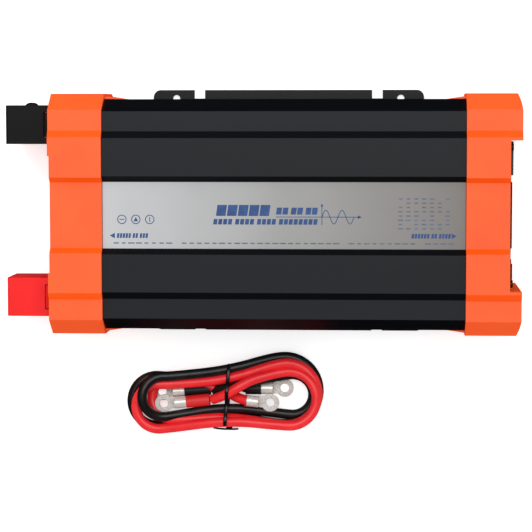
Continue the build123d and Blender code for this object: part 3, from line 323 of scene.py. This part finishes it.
def studio_floor():
    """Seamless white paper."""
    made = finish("studio_floor", "#f4f4f4", "#f7f7f7", 0.8, grain_mm=4.0, depth_mm=0.0, patch_mm=400.0,
                  specular=0.1, edge_mm=0.05)
    shader = made.node_tree.nodes["Principled BSDF"]
    shader.inputs["Emission Color"].default_value = linear(WHITE)
    shader.inputs["Emission Strength"].default_value = PAPER_GLOW
    return made


NODE_FINISHES = {
    black_anodised_aluminium: ("top_housing", "base_housing", "front_heatsink", "rear_heatsink"),
    black_powder_coat: ("mounting_plate", "mains_panel"),
    orange_abs: ("battery_end_cap", "mains_end_cap"),
    black_nylon: ("negative_terminal_cover", "negative_terminal_base", "front_fan_frame", "rear_fan_frame",
                  "front_fan_rotor", "rear_fan_rotor", "outlet_body", "switch_body", "usb_tongues"),
    red_nylon: ("positive_terminal_cover", "positive_terminal_base"),
    grey_blue_plastic: ("usb_module",),
    rocker_plastic: ("switch_rocker",),
    black_oxide_steel: ("mounting_plate_screws", "cap_screws", "fan_screws", "panel_screws"),
    zinc_plated_steel: ("fan_guards", "terminal_spring_washers", "cover_pins", "ground_screw",
                        "ground_washer", "board_screws"),
    turned_brass: ("terminal_studs", "terminal_washers", "terminal_nuts", "outlet_contacts",
                   "board_standoffs"),
    tinned_copper: ("black_lug_left", "black_lug_right", "red_lug_left", "red_lug_right"),
    bare_copper: ("negative_bus_bar", "positive_bus_bar"),
    enamelled_copper: ("transformer_windings", "output_choke"),
    solder_mask: ("circuit_board", "control_board"),
    chip_epoxy: ("mosfets",),
    sintered_ferrite: ("transformer_cores",),
    capacitor_sleeve: ("input_capacitors", "bus_capacitors"),
    fuse_tint: ("blade_fuses",),
    green_lens: ("power_lamp",),
    red_lens: ("fault_lamp",),
    shrink_sleeve_black: ("black_sleeves",),
    shrink_sleeve_red: ("red_sleeves",),
    label_film: ("nameplate",),
}


# ---------------------------------------------------------------- nameplate print
LABEL_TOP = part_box("nameplate")[1][2]
INK_HEIGHT = 0.04 * MM
SLANT = 0.14                # sideways lean of the word blocks, for each millimetre of height

# Rows of word blocks: left, right, lower and upper edge in millimetres, then blocks in each word, then gaps.
HEADLINE = ((-48.9, -10.4, -0.3, 7.7), (5,), 0.9, 0.0)
SECOND_HEADLINE = ((-5.3, 24.4, 0.8, 5.8), (2, 2, 2), 0.7, 2.2)
TAGLINE = ((-51.0, 24.4, -6.5, -2.5), (4, 4, 4, 8), 0.75, 2.4)
BATTERY_END_ROW = ((-121.4, -98.9, -16.5, -13.1), (5, 2, 3), 0.55, 1.5)
MAINS_END_ROW = ((92.6, 120.6, -16.3, -13.0), (6, 2, 4), 0.55, 1.5)
PRINT_LINE = 0.5            # width of the wave's axes
ARROW_HALF = 2.0            # half width of the arrows beside the two end rows
PICTOGRAM_PLACES = (-117.6, -107.4, -97.2)
PICTOGRAM_Y = -3.0
PICTOGRAM_RADIUS = 3.4
PICTOGRAM_LINE = 0.6
PICTOGRAM_BAR = 1.8         # half length of the bars inside the rings
PICTOGRAM_PEAK = 1.8        # the triangle's tip above the ring's middle
PICTOGRAM_FOOT = 1.4        # its base below
PICTOGRAM_BASE = 1.6        # its half width
WAVE_PERIODS = 2
WAVE_STEPS = 24             # in each period
RING_STEPS = 32
LEFT_OUT = 0.1              # share of the small print's dashes that are left out
LONGEST_DASH = 0.9          # longest and shortest dash, as shares of their pitch
SHORTEST_DASH = 0.5

# What the small print's node tree takes: each input's name and kind.
SMALL_PRINT_INPUTS = (("Row length", "Float"), ("Row count", "Int"), ("Row pitch", "Float"),
                      ("Dash pitch", "Float"), ("Dash height", "Float"), ("Middle", "Vector"),
                      ("Ink", "Material"), ("Seed", "Int"))

# Blocks of small print: name, middle, row length, rows and dash pitch in millimetres, seed.
SMALL_PRINT = (
    ("specification_rows", (101.7, 1.5), 34.0, 8, 4.3, 4),
    ("caution_row", (-0.3, -20.2), 243.0, 1, 5.4, 9),
)


def ink_bar(bm, x0, x1, y0, y1):
    """A flat printed block, in millimetres on the nameplate."""
    low = LABEL_TOP
    high = LABEL_TOP + INK_HEIGHT
    points = [bm.verts.new((x * MM, y * MM, z)) for z in (low, high)
              for x, y in ((x0, y0), (x1, y0), (x1, y1), (x0, y1))]
    for a in range(4):
        b = (a + 1) % 4
        bm.faces.new((points[a], points[b], points[b + 4], points[a + 4]))
    bm.faces.new(points[4:])
    bm.faces.new(points[3::-1])


def ink_shape(bm, outline):
    """A flat printed polygon, in millimetres on the nameplate."""
    points = [bm.verts.new((x * MM, y * MM, LABEL_TOP + INK_HEIGHT)) for x, y in outline]
    bm.faces.new(points)


def ink_words(bm, place, words, gap, space):
    """A row of slanted blocks grouped like words."""
    x0, x1, y0, y1 = place
    lean = SLANT * (y1 - y0)
    letters = sum(words)
    blanks = len(words) - 1
    width = (x1 - x0 - gap * (letters - 1 - blanks) - space * blanks) / letters
    x = x0
    for word in words:
        for _ in range(word):
            ink_shape(bm, ((x, y0), (x + width, y0), (x + width + lean, y1), (x + lean, y1)))
            x += width + gap
        x += space - gap


def ink_sine(bm, x0, x1, middle, height, periods, thickness):
    """A sine wave as a printed ribbon."""
    steps = WAVE_STEPS * periods
    upper = []
    lower = []
    for step in range(steps + 1):
        angle = 2 * math.pi * periods * step / steps
        x = x0 + (x1 - x0) * step / steps
        y = middle + height * math.sin(angle)
        slope = height * math.cos(angle) * 2 * math.pi * periods / (x1 - x0)
        length = math.hypot(1.0, slope)
        off_x = -slope / length * thickness / 2
        off_y = thickness / 2 / length
        upper.append(bm.verts.new(((x + off_x) * MM, (y + off_y) * MM, LABEL_TOP + INK_HEIGHT)))
        lower.append(bm.verts.new(((x - off_x) * MM, (y - off_y) * MM, LABEL_TOP + INK_HEIGHT)))
    for step in range(steps):
        bm.faces.new((lower[step], lower[step + 1], upper[step + 1], upper[step]))


def ink_ring(bm, x, y, radius, thickness):
    """A printed ring."""
    for step in range(RING_STEPS):
        corners = []
        for turn, reach in ((step, radius), (step + 1, radius), (step + 1, radius - thickness),
                            (step, radius - thickness)):
            angle = 2 * math.pi * turn / RING_STEPS
            corners.append((x + reach * math.cos(angle), y + reach * math.sin(angle)))
        ink_shape(bm, corners)


def ink_arrow(bm, tip, base, y):
    """A solid arrowhead that points along the nameplate, wound so that it faces up."""
    half = math.copysign(ARROW_HALF, tip - base)
    ink_shape(bm, ((tip, y), (base, y + half), (base, y - half)))


def ink_wave(bm):
    """The sine wave with its two axes and their arrowheads."""
    ink_bar(bm, -5.3, 55.0, -1.0 - PRINT_LINE / 2, -1.0 + PRINT_LINE / 2)
    ink_shape(bm, ((54.0, -2.2), (57.0, -1.0), (54.0, 0.2)))
    ink_sine(bm, 28.0, 51.2, -1.0, 5.0, WAVE_PERIODS, 0.55)
    ink_bar(bm, 28.0 - PRINT_LINE / 2, 28.0 + PRINT_LINE / 2, -6.8, 7.2)
    ink_shape(bm, ((27.0, 6.6), (29.0, 6.6), (28.0, 9.0)))


def ink_pictograms(bm):
    """Three rings: a level bar, a triangle and an upright bar."""
    level, triangle, upright = PICTOGRAM_PLACES
    y = PICTOGRAM_Y
    half = PICTOGRAM_LINE / 2
    for x in PICTOGRAM_PLACES:
        ink_ring(bm, x, y, PICTOGRAM_RADIUS, PICTOGRAM_LINE)
    ink_bar(bm, level - PICTOGRAM_BAR, level + PICTOGRAM_BAR, y - half, y + half)
    foot = y - PICTOGRAM_FOOT
    ink_shape(bm, ((triangle - PICTOGRAM_BASE, foot), (triangle + PICTOGRAM_BASE, foot),
                   (triangle, y + PICTOGRAM_PEAK)))
    ink_bar(bm, upright - half, upright + half, y - PICTOGRAM_BAR, y + PICTOGRAM_BAR)


def nameplate_print():
    """Navy marks of the nameplate: word blocks, wave, arrows and pictograms, all generic."""
    bm = bmesh.new()
    for row in (HEADLINE, SECOND_HEADLINE, TAGLINE, BATTERY_END_ROW, MAINS_END_ROW):
        ink_words(bm, *row)
    ink_wave(bm)
    ink_pictograms(bm)
    ink_arrow(bm, -126.5, -122.8, -14.8)
    ink_arrow(bm, 125.2, 121.6, -14.6)
    made = new_mesh_object("nameplate_print", bm)
    made.data.materials.append(print_ink("navy_ink", "#1c3f74", "#26508c"))
    return made


def small_print_tree():
    """Rows of short dashes of random length, with a few left out, like lines of very small print."""
    tree = bpy.data.node_groups.new("small_print_rows", "GeometryNodeTree")
    for name, kind in SMALL_PRINT_INPUTS:
        tree.interface.new_socket(name, in_out="INPUT", socket_type="NodeSocket" + kind)
    tree.interface.new_socket("Geometry", in_out="OUTPUT", socket_type="NodeSocketGeometry")
    given = node(tree, "NodeGroupInput").outputs
    columns = node(tree, "ShaderNodeMath", {"operation": "DIVIDE"},
                   {0: given["Row length"], 1: given["Dash pitch"]})
    height = node(tree, "ShaderNodeMath", {"operation": "MULTIPLY"},
                  {0: given["Row pitch"], 1: given["Row count"]})
    grid = node(tree, "GeometryNodeMeshGrid", None,
                {"Size X": given["Row length"], "Size Y": height.outputs[0], "Vertices X": columns.outputs[0],
                 "Vertices Y": given["Row count"]})
    placed = node(tree, "GeometryNodeTransform", None,
                  {"Geometry": grid.outputs["Mesh"], "Translation": given["Middle"]})
    kept = node(tree, "FunctionNodeRandomValue", {"data_type": "BOOLEAN", "Probability": LEFT_OUT},
                {"Seed": given["Seed"]})
    thinned = node(tree, "GeometryNodeDeleteGeometry", None,
                   {"Geometry": placed.outputs["Geometry"], "Selection": kept.outputs[3]})
    dash = node(tree, "GeometryNodeMeshCube", {"Size": (1.0, 1.0, 1.0)})
    wide = node(tree, "ShaderNodeMath", {"operation": "MULTIPLY", 1: LONGEST_DASH},
                {0: given["Dash pitch"]})
    narrow = node(tree, "ShaderNodeMath", {"operation": "MULTIPLY", 1: SHORTEST_DASH},
                  {0: given["Dash pitch"]})
    length = node(tree, "FunctionNodeRandomValue", {"data_type": "FLOAT"},
                  {2: narrow.outputs[0], 3: wide.outputs[0], "Seed": given["Seed"]})
    scale = node(tree, "ShaderNodeCombineXYZ", {"Z": 2 * INK_HEIGHT},
                 {"X": length.outputs[1], "Y": given["Dash height"]})
    copies = node(tree, "GeometryNodeInstanceOnPoints", None,
                  {"Points": thinned.outputs["Geometry"], "Instance": dash.outputs["Mesh"],
                   "Scale": scale.outputs["Vector"]})
    solid = node(tree, "GeometryNodeRealizeInstances", None, {"Geometry": copies.outputs["Instances"]})
    inked = node(tree, "GeometryNodeSetMaterial", None, {"Geometry": solid.outputs["Geometry"],
                                                         "Material": given["Ink"]})
    node(tree, "NodeGroupOutput", None, {"Geometry": inked.outputs["Geometry"]})
    return tree


def grown(name, tree, values):
    """Runs a node tree on an empty mesh and returns the result as a plain mesh object."""
    base = bpy.data.objects.new(name, bpy.data.meshes.new(name))
    bpy.context.scene.collection.objects.link(base)
    modifier = base.modifiers.new("shape", "NODES")
    modifier.node_group = tree
    names = {item.name: item.identifier for item in tree.interface.items_tree if item.in_out == "INPUT"}
    for key, value in values.items():
        modifier[names[key]] = value
    ready = base.evaluated_get(bpy.context.evaluated_depsgraph_get())
    mesh = bpy.data.meshes.new_from_object(ready)
    base.modifiers.clear()
    base.data = mesh
    mesh.name = name
    return base


# ---------------------------------------------------------------- battery leads
LEAD_DIAMETER = 7.6 * MM
LEAD_ROUNDING = 6           # divisions of the curve's section and of its line
LEAD_SMOOTHNESS = 10
TIE_X = -46.0
LOW = 3.8                   # heights of the three layers of strands
MID = 11.4
TOP = 19.0
LOBE_STEPS = 7
LOBE_SWEEP = 215.0          # degrees of round end in each lobe
CORNER_REACH = 1.035        # control points stand this much outside the round end

# All in millimetres. Each lobe of a coil: its far end in x, its rear and front in y; its heights leaving the
# tie, at the far end and coming back; and its place (y, z) under the tie.
BLACK_START = ((-57.0, -137.0, 5.4), (TIE_X, -136.0, 10.4), (-30.0, -130.5, MID))
BLACK_LOBES = (
    ((19.0, -124.8, -156.2), (7.0, LOW, LOW), (-149.5, 9.0)),
    ((-110.5, -126.0, -157.4), (MID, TOP, 14.0), (-121.6, MID)),
    ((23.4, -111.6, -163.5), (LOW, LOW, LOW), (-157.0, LOW)),
    ((-120.0, -127.0, -165.5), (LOW, LOW, LOW), (-131.0, LOW)),
)
BLACK_FINISH = ((-38.0, -133.8, 4.1), (-31.0, -136.0, 4.6))

RED_START = ((-57.0, -143.6, 12.6), (-50.0, -141.0, 17.0), (-38.0, -134.0, TOP), (-27.0, -127.5, 16.0))
RED_LOBES = (
    ((22.0, -122.0, -162.5), (MID, 15.0, TOP), (-158.6, TOP)),
    ((-116.0, -132.5, -166.8), (MID, MID, MID), (-129.0, MID)),
    ((23.0, -115.6, -163.0), (MID, MID, MID), (-157.0, MID)),
    ((-104.5, -127.6, -160.0), (MID, LOW, LOW), (-138.8, 6.2)),
)
RED_FINISH = ((-37.5, -143.2, 10.4), (-31.0, -144.5, 12.2))


def eased(share):
    """Smooth step from 0 to 1."""
    return share * share * (3 - 2 * share)


def lobe(extent, heights):
    """One half turn of the coil: out from the tie, round the far end and back, rear first on the right."""
    far, rear, front = extent
    side = 1 if far > TIE_X else -1
    radius = (rear - front) / 2
    centre = (far - side * radius, (rear + front) / 2)
    points = []
    for step in range(LOBE_STEPS + 1):
        share = step / LOBE_STEPS
        angle = math.radians(LOBE_SWEEP * (0.5 - share))
        if share < 0.5:
            height = heights[0] + (heights[1] - heights[0]) * eased(2 * share)
        else:
            height = heights[1] + (heights[2] - heights[1]) * eased(2 * share - 1)
        points.append((centre[0] + side * radius * CORNER_REACH * math.cos(angle),
                       centre[1] + side * radius * CORNER_REACH * math.sin(angle), height))
    return points


def coil(start, lobes, finish):
    """A lead's whole line: its first short run, two turns of two lobes each, and its last short run."""
    points = list(start)
    for extent, heights, place in lobes:
        points += lobe(extent, heights)
        points.append((TIE_X,) + place)
    return points + list(finish)


def lead(node_name, route, jacket):
    """A battery lead: one smooth curve along its route, from one lug's sleeve to the other's."""
    name = node_name + "_curve"
    data = bpy.data.curves.new(name, "CURVE")
    data.dimensions = "3D"
    data.bevel_depth = LEAD_DIAMETER / 2
    data.bevel_resolution = LEAD_ROUNDING
    data.resolution_u = LEAD_SMOOTHNESS
    data.use_fill_caps = True
    spline = data.splines.new("NURBS")
    spline.points.add(len(route) - 1)
    for point, place in zip(spline.points, route):
        point.co = (place[0] * MM, place[1] * MM, place[2] * MM, 1.0)
    spline.order_u = 3
    spline.use_endpoint_u = True
    made = bpy.data.objects.new(name, data)
    bpy.context.scene.collection.objects.link(made)
    data.materials.append(jacket)
    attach(made, LEADS_BODY)
    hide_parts(node_name)
    round(curve_length(made), 3)


# The strap's line round the bundle (y, z), the cut tail in front (x, y, z) and the head, in millimetres.
TIE_LOOP = ((-164.0, 5.0), (-164.2, 9.0), (-163.8, 18.0), (-162.2, 22.2), (-158.5, 23.2), (-154.5, 21.5),
            (-150.0, 17.2), (-146.0, 17.4), (-142.5, 20.0), (-139.0, 22.6), (-135.0, 22.8), (-131.0, 20.0),
            (-128.0, 16.6), (-122.5, 15.8), (-118.8, 14.6), (-117.2, 11.0), (-117.0, 6.0), (-118.0, 1.6),
            (-121.0, 0.2), (-130.0, 0.1), (-150.0, 0.1), (-160.0, 0.2), (-163.0, 1.4), (-164.0, 5.0))
TIE_TAIL = ((-57.5, -166.3, 3.0), (-54.0, -167.1, 2.2), (-49.0, -167.6, 1.4), (-43.0, -167.7, 1.2),
            (-38.5, -167.4, 1.6))
TIE_LEAN = 0.055            # the strap's shift in x for each millimetre towards the rear
TIE_MIDDLE_Y = -140.0
STRAP_HALF_WIDTH = 1.35
STRAP_THICKNESS = 1.0
TAIL_HALF_WIDTH = 1.2
TAIL_THICKNESS = 1.1
HEAD_SIZE = (4.6, 3.4, 6.0)
HEAD_PLACE = (-45.0, -165.6, 6.0)
HEAD_ROUNDING = 0.7
# The strap's own section: shares of its half width and of its thickness, with bevelled edges.
STRAP_SECTION = ((-1.0, 0.2), (-0.75, 0.0), (0.75, 0.0), (1.0, 0.2), (1.0, 0.8), (0.75, 1.0), (-0.75, 1.0),
                 (-1.0, 0.8))


def band(bm, path, across, half_width, thickness):
    """A flat strap along a path, its width along one direction and its thickness outwards."""
    rings = []
    last = len(path) - 1
    for number, place in enumerate(path):
        along = path[min(number + 1, last)] - path[max(number - 1, 0)]
        outward = along.cross(across).normalized()
        rings.append([bm.verts.new(place + across * (a * half_width) + outward * (b * thickness))
                      for a, b in STRAP_SECTION])
    for first, second in zip(rings, rings[1:]):
        for corner in range(len(first)):
            after = (corner + 1) % len(first)
            bm.faces.new((first[corner], second[corner], second[after], first[after]))
    bm.faces.new(rings[0])
    bm.faces.new(rings[-1][::-1])


def lead_tie():
    """Thin nylon tie pulled tight round the bundle, with its head and cut tail in front."""
    bm = bmesh.new()
    loop = [Vector((TIE_X + TIE_LEAN * (y - TIE_MIDDLE_Y), y, z)) * MM for y, z in TIE_LOOP]
    band(bm, loop, Vector((1.0, 0.0, 0.0)), STRAP_HALF_WIDTH * MM, STRAP_THICKNESS * MM)
    tail = [Vector(place) * MM for place in TIE_TAIL]
    band(bm, tail, Vector((0.0, 0.0, 1.0)), TAIL_HALF_WIDTH * MM, TAIL_THICKNESS * MM)
    bmesh.ops.recalc_face_normals(bm, faces=bm.faces)
    head = bmesh.ops.create_cube(bm, size=1.0)["verts"]
    bmesh.ops.scale(bm, verts=head, vec=Vector(HEAD_SIZE) * MM)
    bmesh.ops.translate(bm, verts=head, vec=Vector(HEAD_PLACE) * MM)
    edges = {edge for vert in head for edge in vert.link_edges}
    bmesh.ops.bevel(bm, geom=list(edges), offset=HEAD_ROUNDING * MM, segments=3, affect="EDGES")
    made = new_mesh_object("lead_tie", bm)
    made.data.materials.append(tie_nylon())
    for face in made.data.polygons:
        face.use_smooth = True
    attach(made, LEADS_BODY)
    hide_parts("cable_tie")


def curve_length(curve):
    """Length of a curve's own line, in metres."""
    bare = curve.copy()
    bare.data = curve.data.copy()
    bare.data.bevel_depth = 0.0
    bpy.context.scene.collection.objects.link(bare)
    mesh = bpy.data.meshes.new_from_object(bare)
    ends = [[mesh.vertices[end].co for end in edge.vertices] for edge in mesh.edges]
    total = sum((first - second).length for first, second in ends)
    bpy.data.meshes.remove(mesh)
    bpy.data.curves.remove(bare.data)
    return total


# ---------------------------------------------------------------- stage
CAMERA_PLACE = (76.71 * MM, 76.78 * MM, 1546.42 * MM)
CAMERA_TILT = (0.076983, -0.060455, -0.003929)
SENSOR_MM = 36.0
LENS_MM = 137.72
WHITE = "#ffffff"
PAPER_HALF = 6.0            # metres
PAPER_DROP = 0.2 * MM       # paper below the feet
PAPER_GLOW = 0.45
SURROUND_STRENGTH = 0.72
# The two boxes in metres and watts: place, width and height, power, and whether they show in gloss.
OVERHEAD_BOX = ((0.05, 0.55, 1.9), (1.7, 1.3), 20.0, True)
REAR_BOX = ((0.0, 1.7, 1.0), (1.6, 0.8), 5.0, False)


def stand_camera():
    """The camera looks almost straight down, from above the rear right of the housing's middle."""
    data = bpy.data.cameras.new("camera")
    data.sensor_width = SENSOR_MM
    data.lens = LENS_MM
    made = bpy.data.objects.new("camera", data)
    bpy.context.scene.collection.objects.link(made)
    rx, ry, rz = CAMERA_TILT
    to_camera = Matrix.Rotation(rz, 3, "Z") @ Matrix.Rotation(ry, 3, "Y") @ Matrix.Rotation(rx, 3, "X")
    made.matrix_world = Matrix.Translation(CAMERA_PLACE) @ to_camera.transposed().to_4x4()
    bpy.context.scene.camera = made


def soft_box(name, place, size, power, gloss):
    """A large white area light aimed at the middle of the part."""
    data = bpy.data.lights.new(name, "AREA")
    data.shape = "RECTANGLE"
    data.size, data.size_y = size
    data.energy = power
    data.color = linear(WHITE)[:3]
    made = bpy.data.objects.new(name, data)
    made.location = place
    made.rotation_euler = (-Vector(place)).to_track_quat("-Z", "Y").to_euler()
    made.visible_glossy = gloss
    bpy.context.scene.collection.objects.link(made)


def studio():
    """White paper floor, a soft overhead box towards the rear and a dim even surround."""
    bm = bmesh.new()
    bmesh.ops.create_grid(bm, x_segments=1, y_segments=1, size=PAPER_HALF)
    floor = new_mesh_object("studio_paper", bm)
    floor.location.z = -PAPER_DROP
    floor.visible_glossy = False
    floor.data.materials.append(studio_floor())
    world = bpy.data.worlds.new("surround")
    world.use_nodes = True
    surround = world.node_tree.nodes["Background"]
    surround.inputs["Color"].default_value = linear(WHITE)
    surround.inputs["Strength"].default_value = SURROUND_STRENGTH
    world.cycles_visibility.glossy = False
    bpy.context.scene.world = world
    soft_box("overhead_box", *OVERHEAD_BOX)
    soft_box("rear_box", *REAR_BOX)
    bpy.context.scene.view_settings.view_transform = "Standard"


# ---------------------------------------------------------------- operators
class InverterSizes(bpy.types.PropertyGroup):
    """Sizes of the small print on the nameplate."""
    row_pitch: bpy.props.FloatProperty(name="Row pitch", default=2.7 * MM, unit="LENGTH",
                                       description="Distance between rows of small print")
    dash_height: bpy.props.FloatProperty(name="Dash height", default=0.9 * MM, unit="LENGTH",
                                         description="Height of a dash in the small print")


class INVERTER_OT_finishes(bpy.types.Operator):
    """Give every CAD piece the finish of its material"""
    bl_idname = "inverter.finishes"
    bl_label = "Finishes"

    def execute(self, context):
        for make, names in NODE_FINISHES.items():
            material = make()
            for name in names:
                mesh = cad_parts[name].data
                mesh.materials.clear()
                mesh.materials.append(material)
        return {"FINISHED"}


class INVERTER_OT_nameplate(bpy.types.Operator):
    """Print the nameplate with generic marks"""
    bl_idname = "inverter.nameplate"
    bl_label = "Nameplate print"

    def execute(self, context):
        sizes = context.scene.inverter_sizes
        marks = nameplate_print()
        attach(marks, HOUSING_BODY)
        ink = print_ink("blue_grey_ink", "#4c5a74", "#5f6d86")
        tree = small_print_tree()
        for name, middle, length, rows, pitch, seed in SMALL_PRINT:
            made = grown(name, tree, {
                "Row length": length * MM, "Row count": rows, "Row pitch": sizes.row_pitch,
                "Dash pitch": pitch * MM, "Dash height": sizes.dash_height,
                "Middle": (middle[0] * MM, middle[1] * MM, LABEL_TOP), "Ink": ink, "Seed": seed})
            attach(made, HOUSING_BODY)
        return {"FINISHED"}


class INVERTER_OT_leads(bpy.types.Operator):
    """Lay the tied red and black battery leads"""
    bl_idname = "inverter.leads"
    bl_label = "Battery leads"

    def execute(self, context):
        lead_tie()
        lead("black_lead", coil(BLACK_START, BLACK_LOBES, BLACK_FINISH), black_pvc_jacket())
        lead("red_lead", coil(RED_START, RED_LOBES, RED_FINISH), red_pvc_jacket())
        return {"FINISHED"}


class INVERTER_OT_stage(bpy.types.Operator):
    """Set up the floor, the lights and the camera"""
    bl_idname = "inverter.stage"
    bl_label = "Stage"

    def execute(self, context):
        stand_camera()
        studio()
        return {"FINISHED"}


class INVERTER_PT_panel(bpy.types.Panel):
    """Buttons for each group of pieces"""
    bl_label = "Inverter"
    bl_space_type = "VIEW_3D"
    bl_region_type = "UI"
    bl_category = "Inverter"

    def draw(self, context):
        sizes = context.scene.inverter_sizes
        self.layout.prop(sizes, "row_pitch")
        self.layout.prop(sizes, "dash_height")
        for operator in STEPS:
            self.layout.operator(operator.bl_idname)


STEPS = (INVERTER_OT_stage, INVERTER_OT_finishes, INVERTER_OT_nameplate, INVERTER_OT_leads)
CLASSES = (InverterSizes, INVERTER_PT_panel) + STEPS


def register():
    for cls in CLASSES:
        bpy.utils.register_class(cls)
    bpy.types.Scene.inverter_sizes = bpy.props.PointerProperty(type=InverterSizes)


def unregister():
    del bpy.types.Scene.inverter_sizes
    for cls in reversed(CLASSES):
        bpy.utils.unregister_class(cls)


def main():
    register()
    bpy.ops.inverter.stage()
    bpy.ops.inverter.finishes()
    bpy.ops.inverter.nameplate()
    bpy.ops.inverter.leads()


if __name__ == "__main__":
    main()
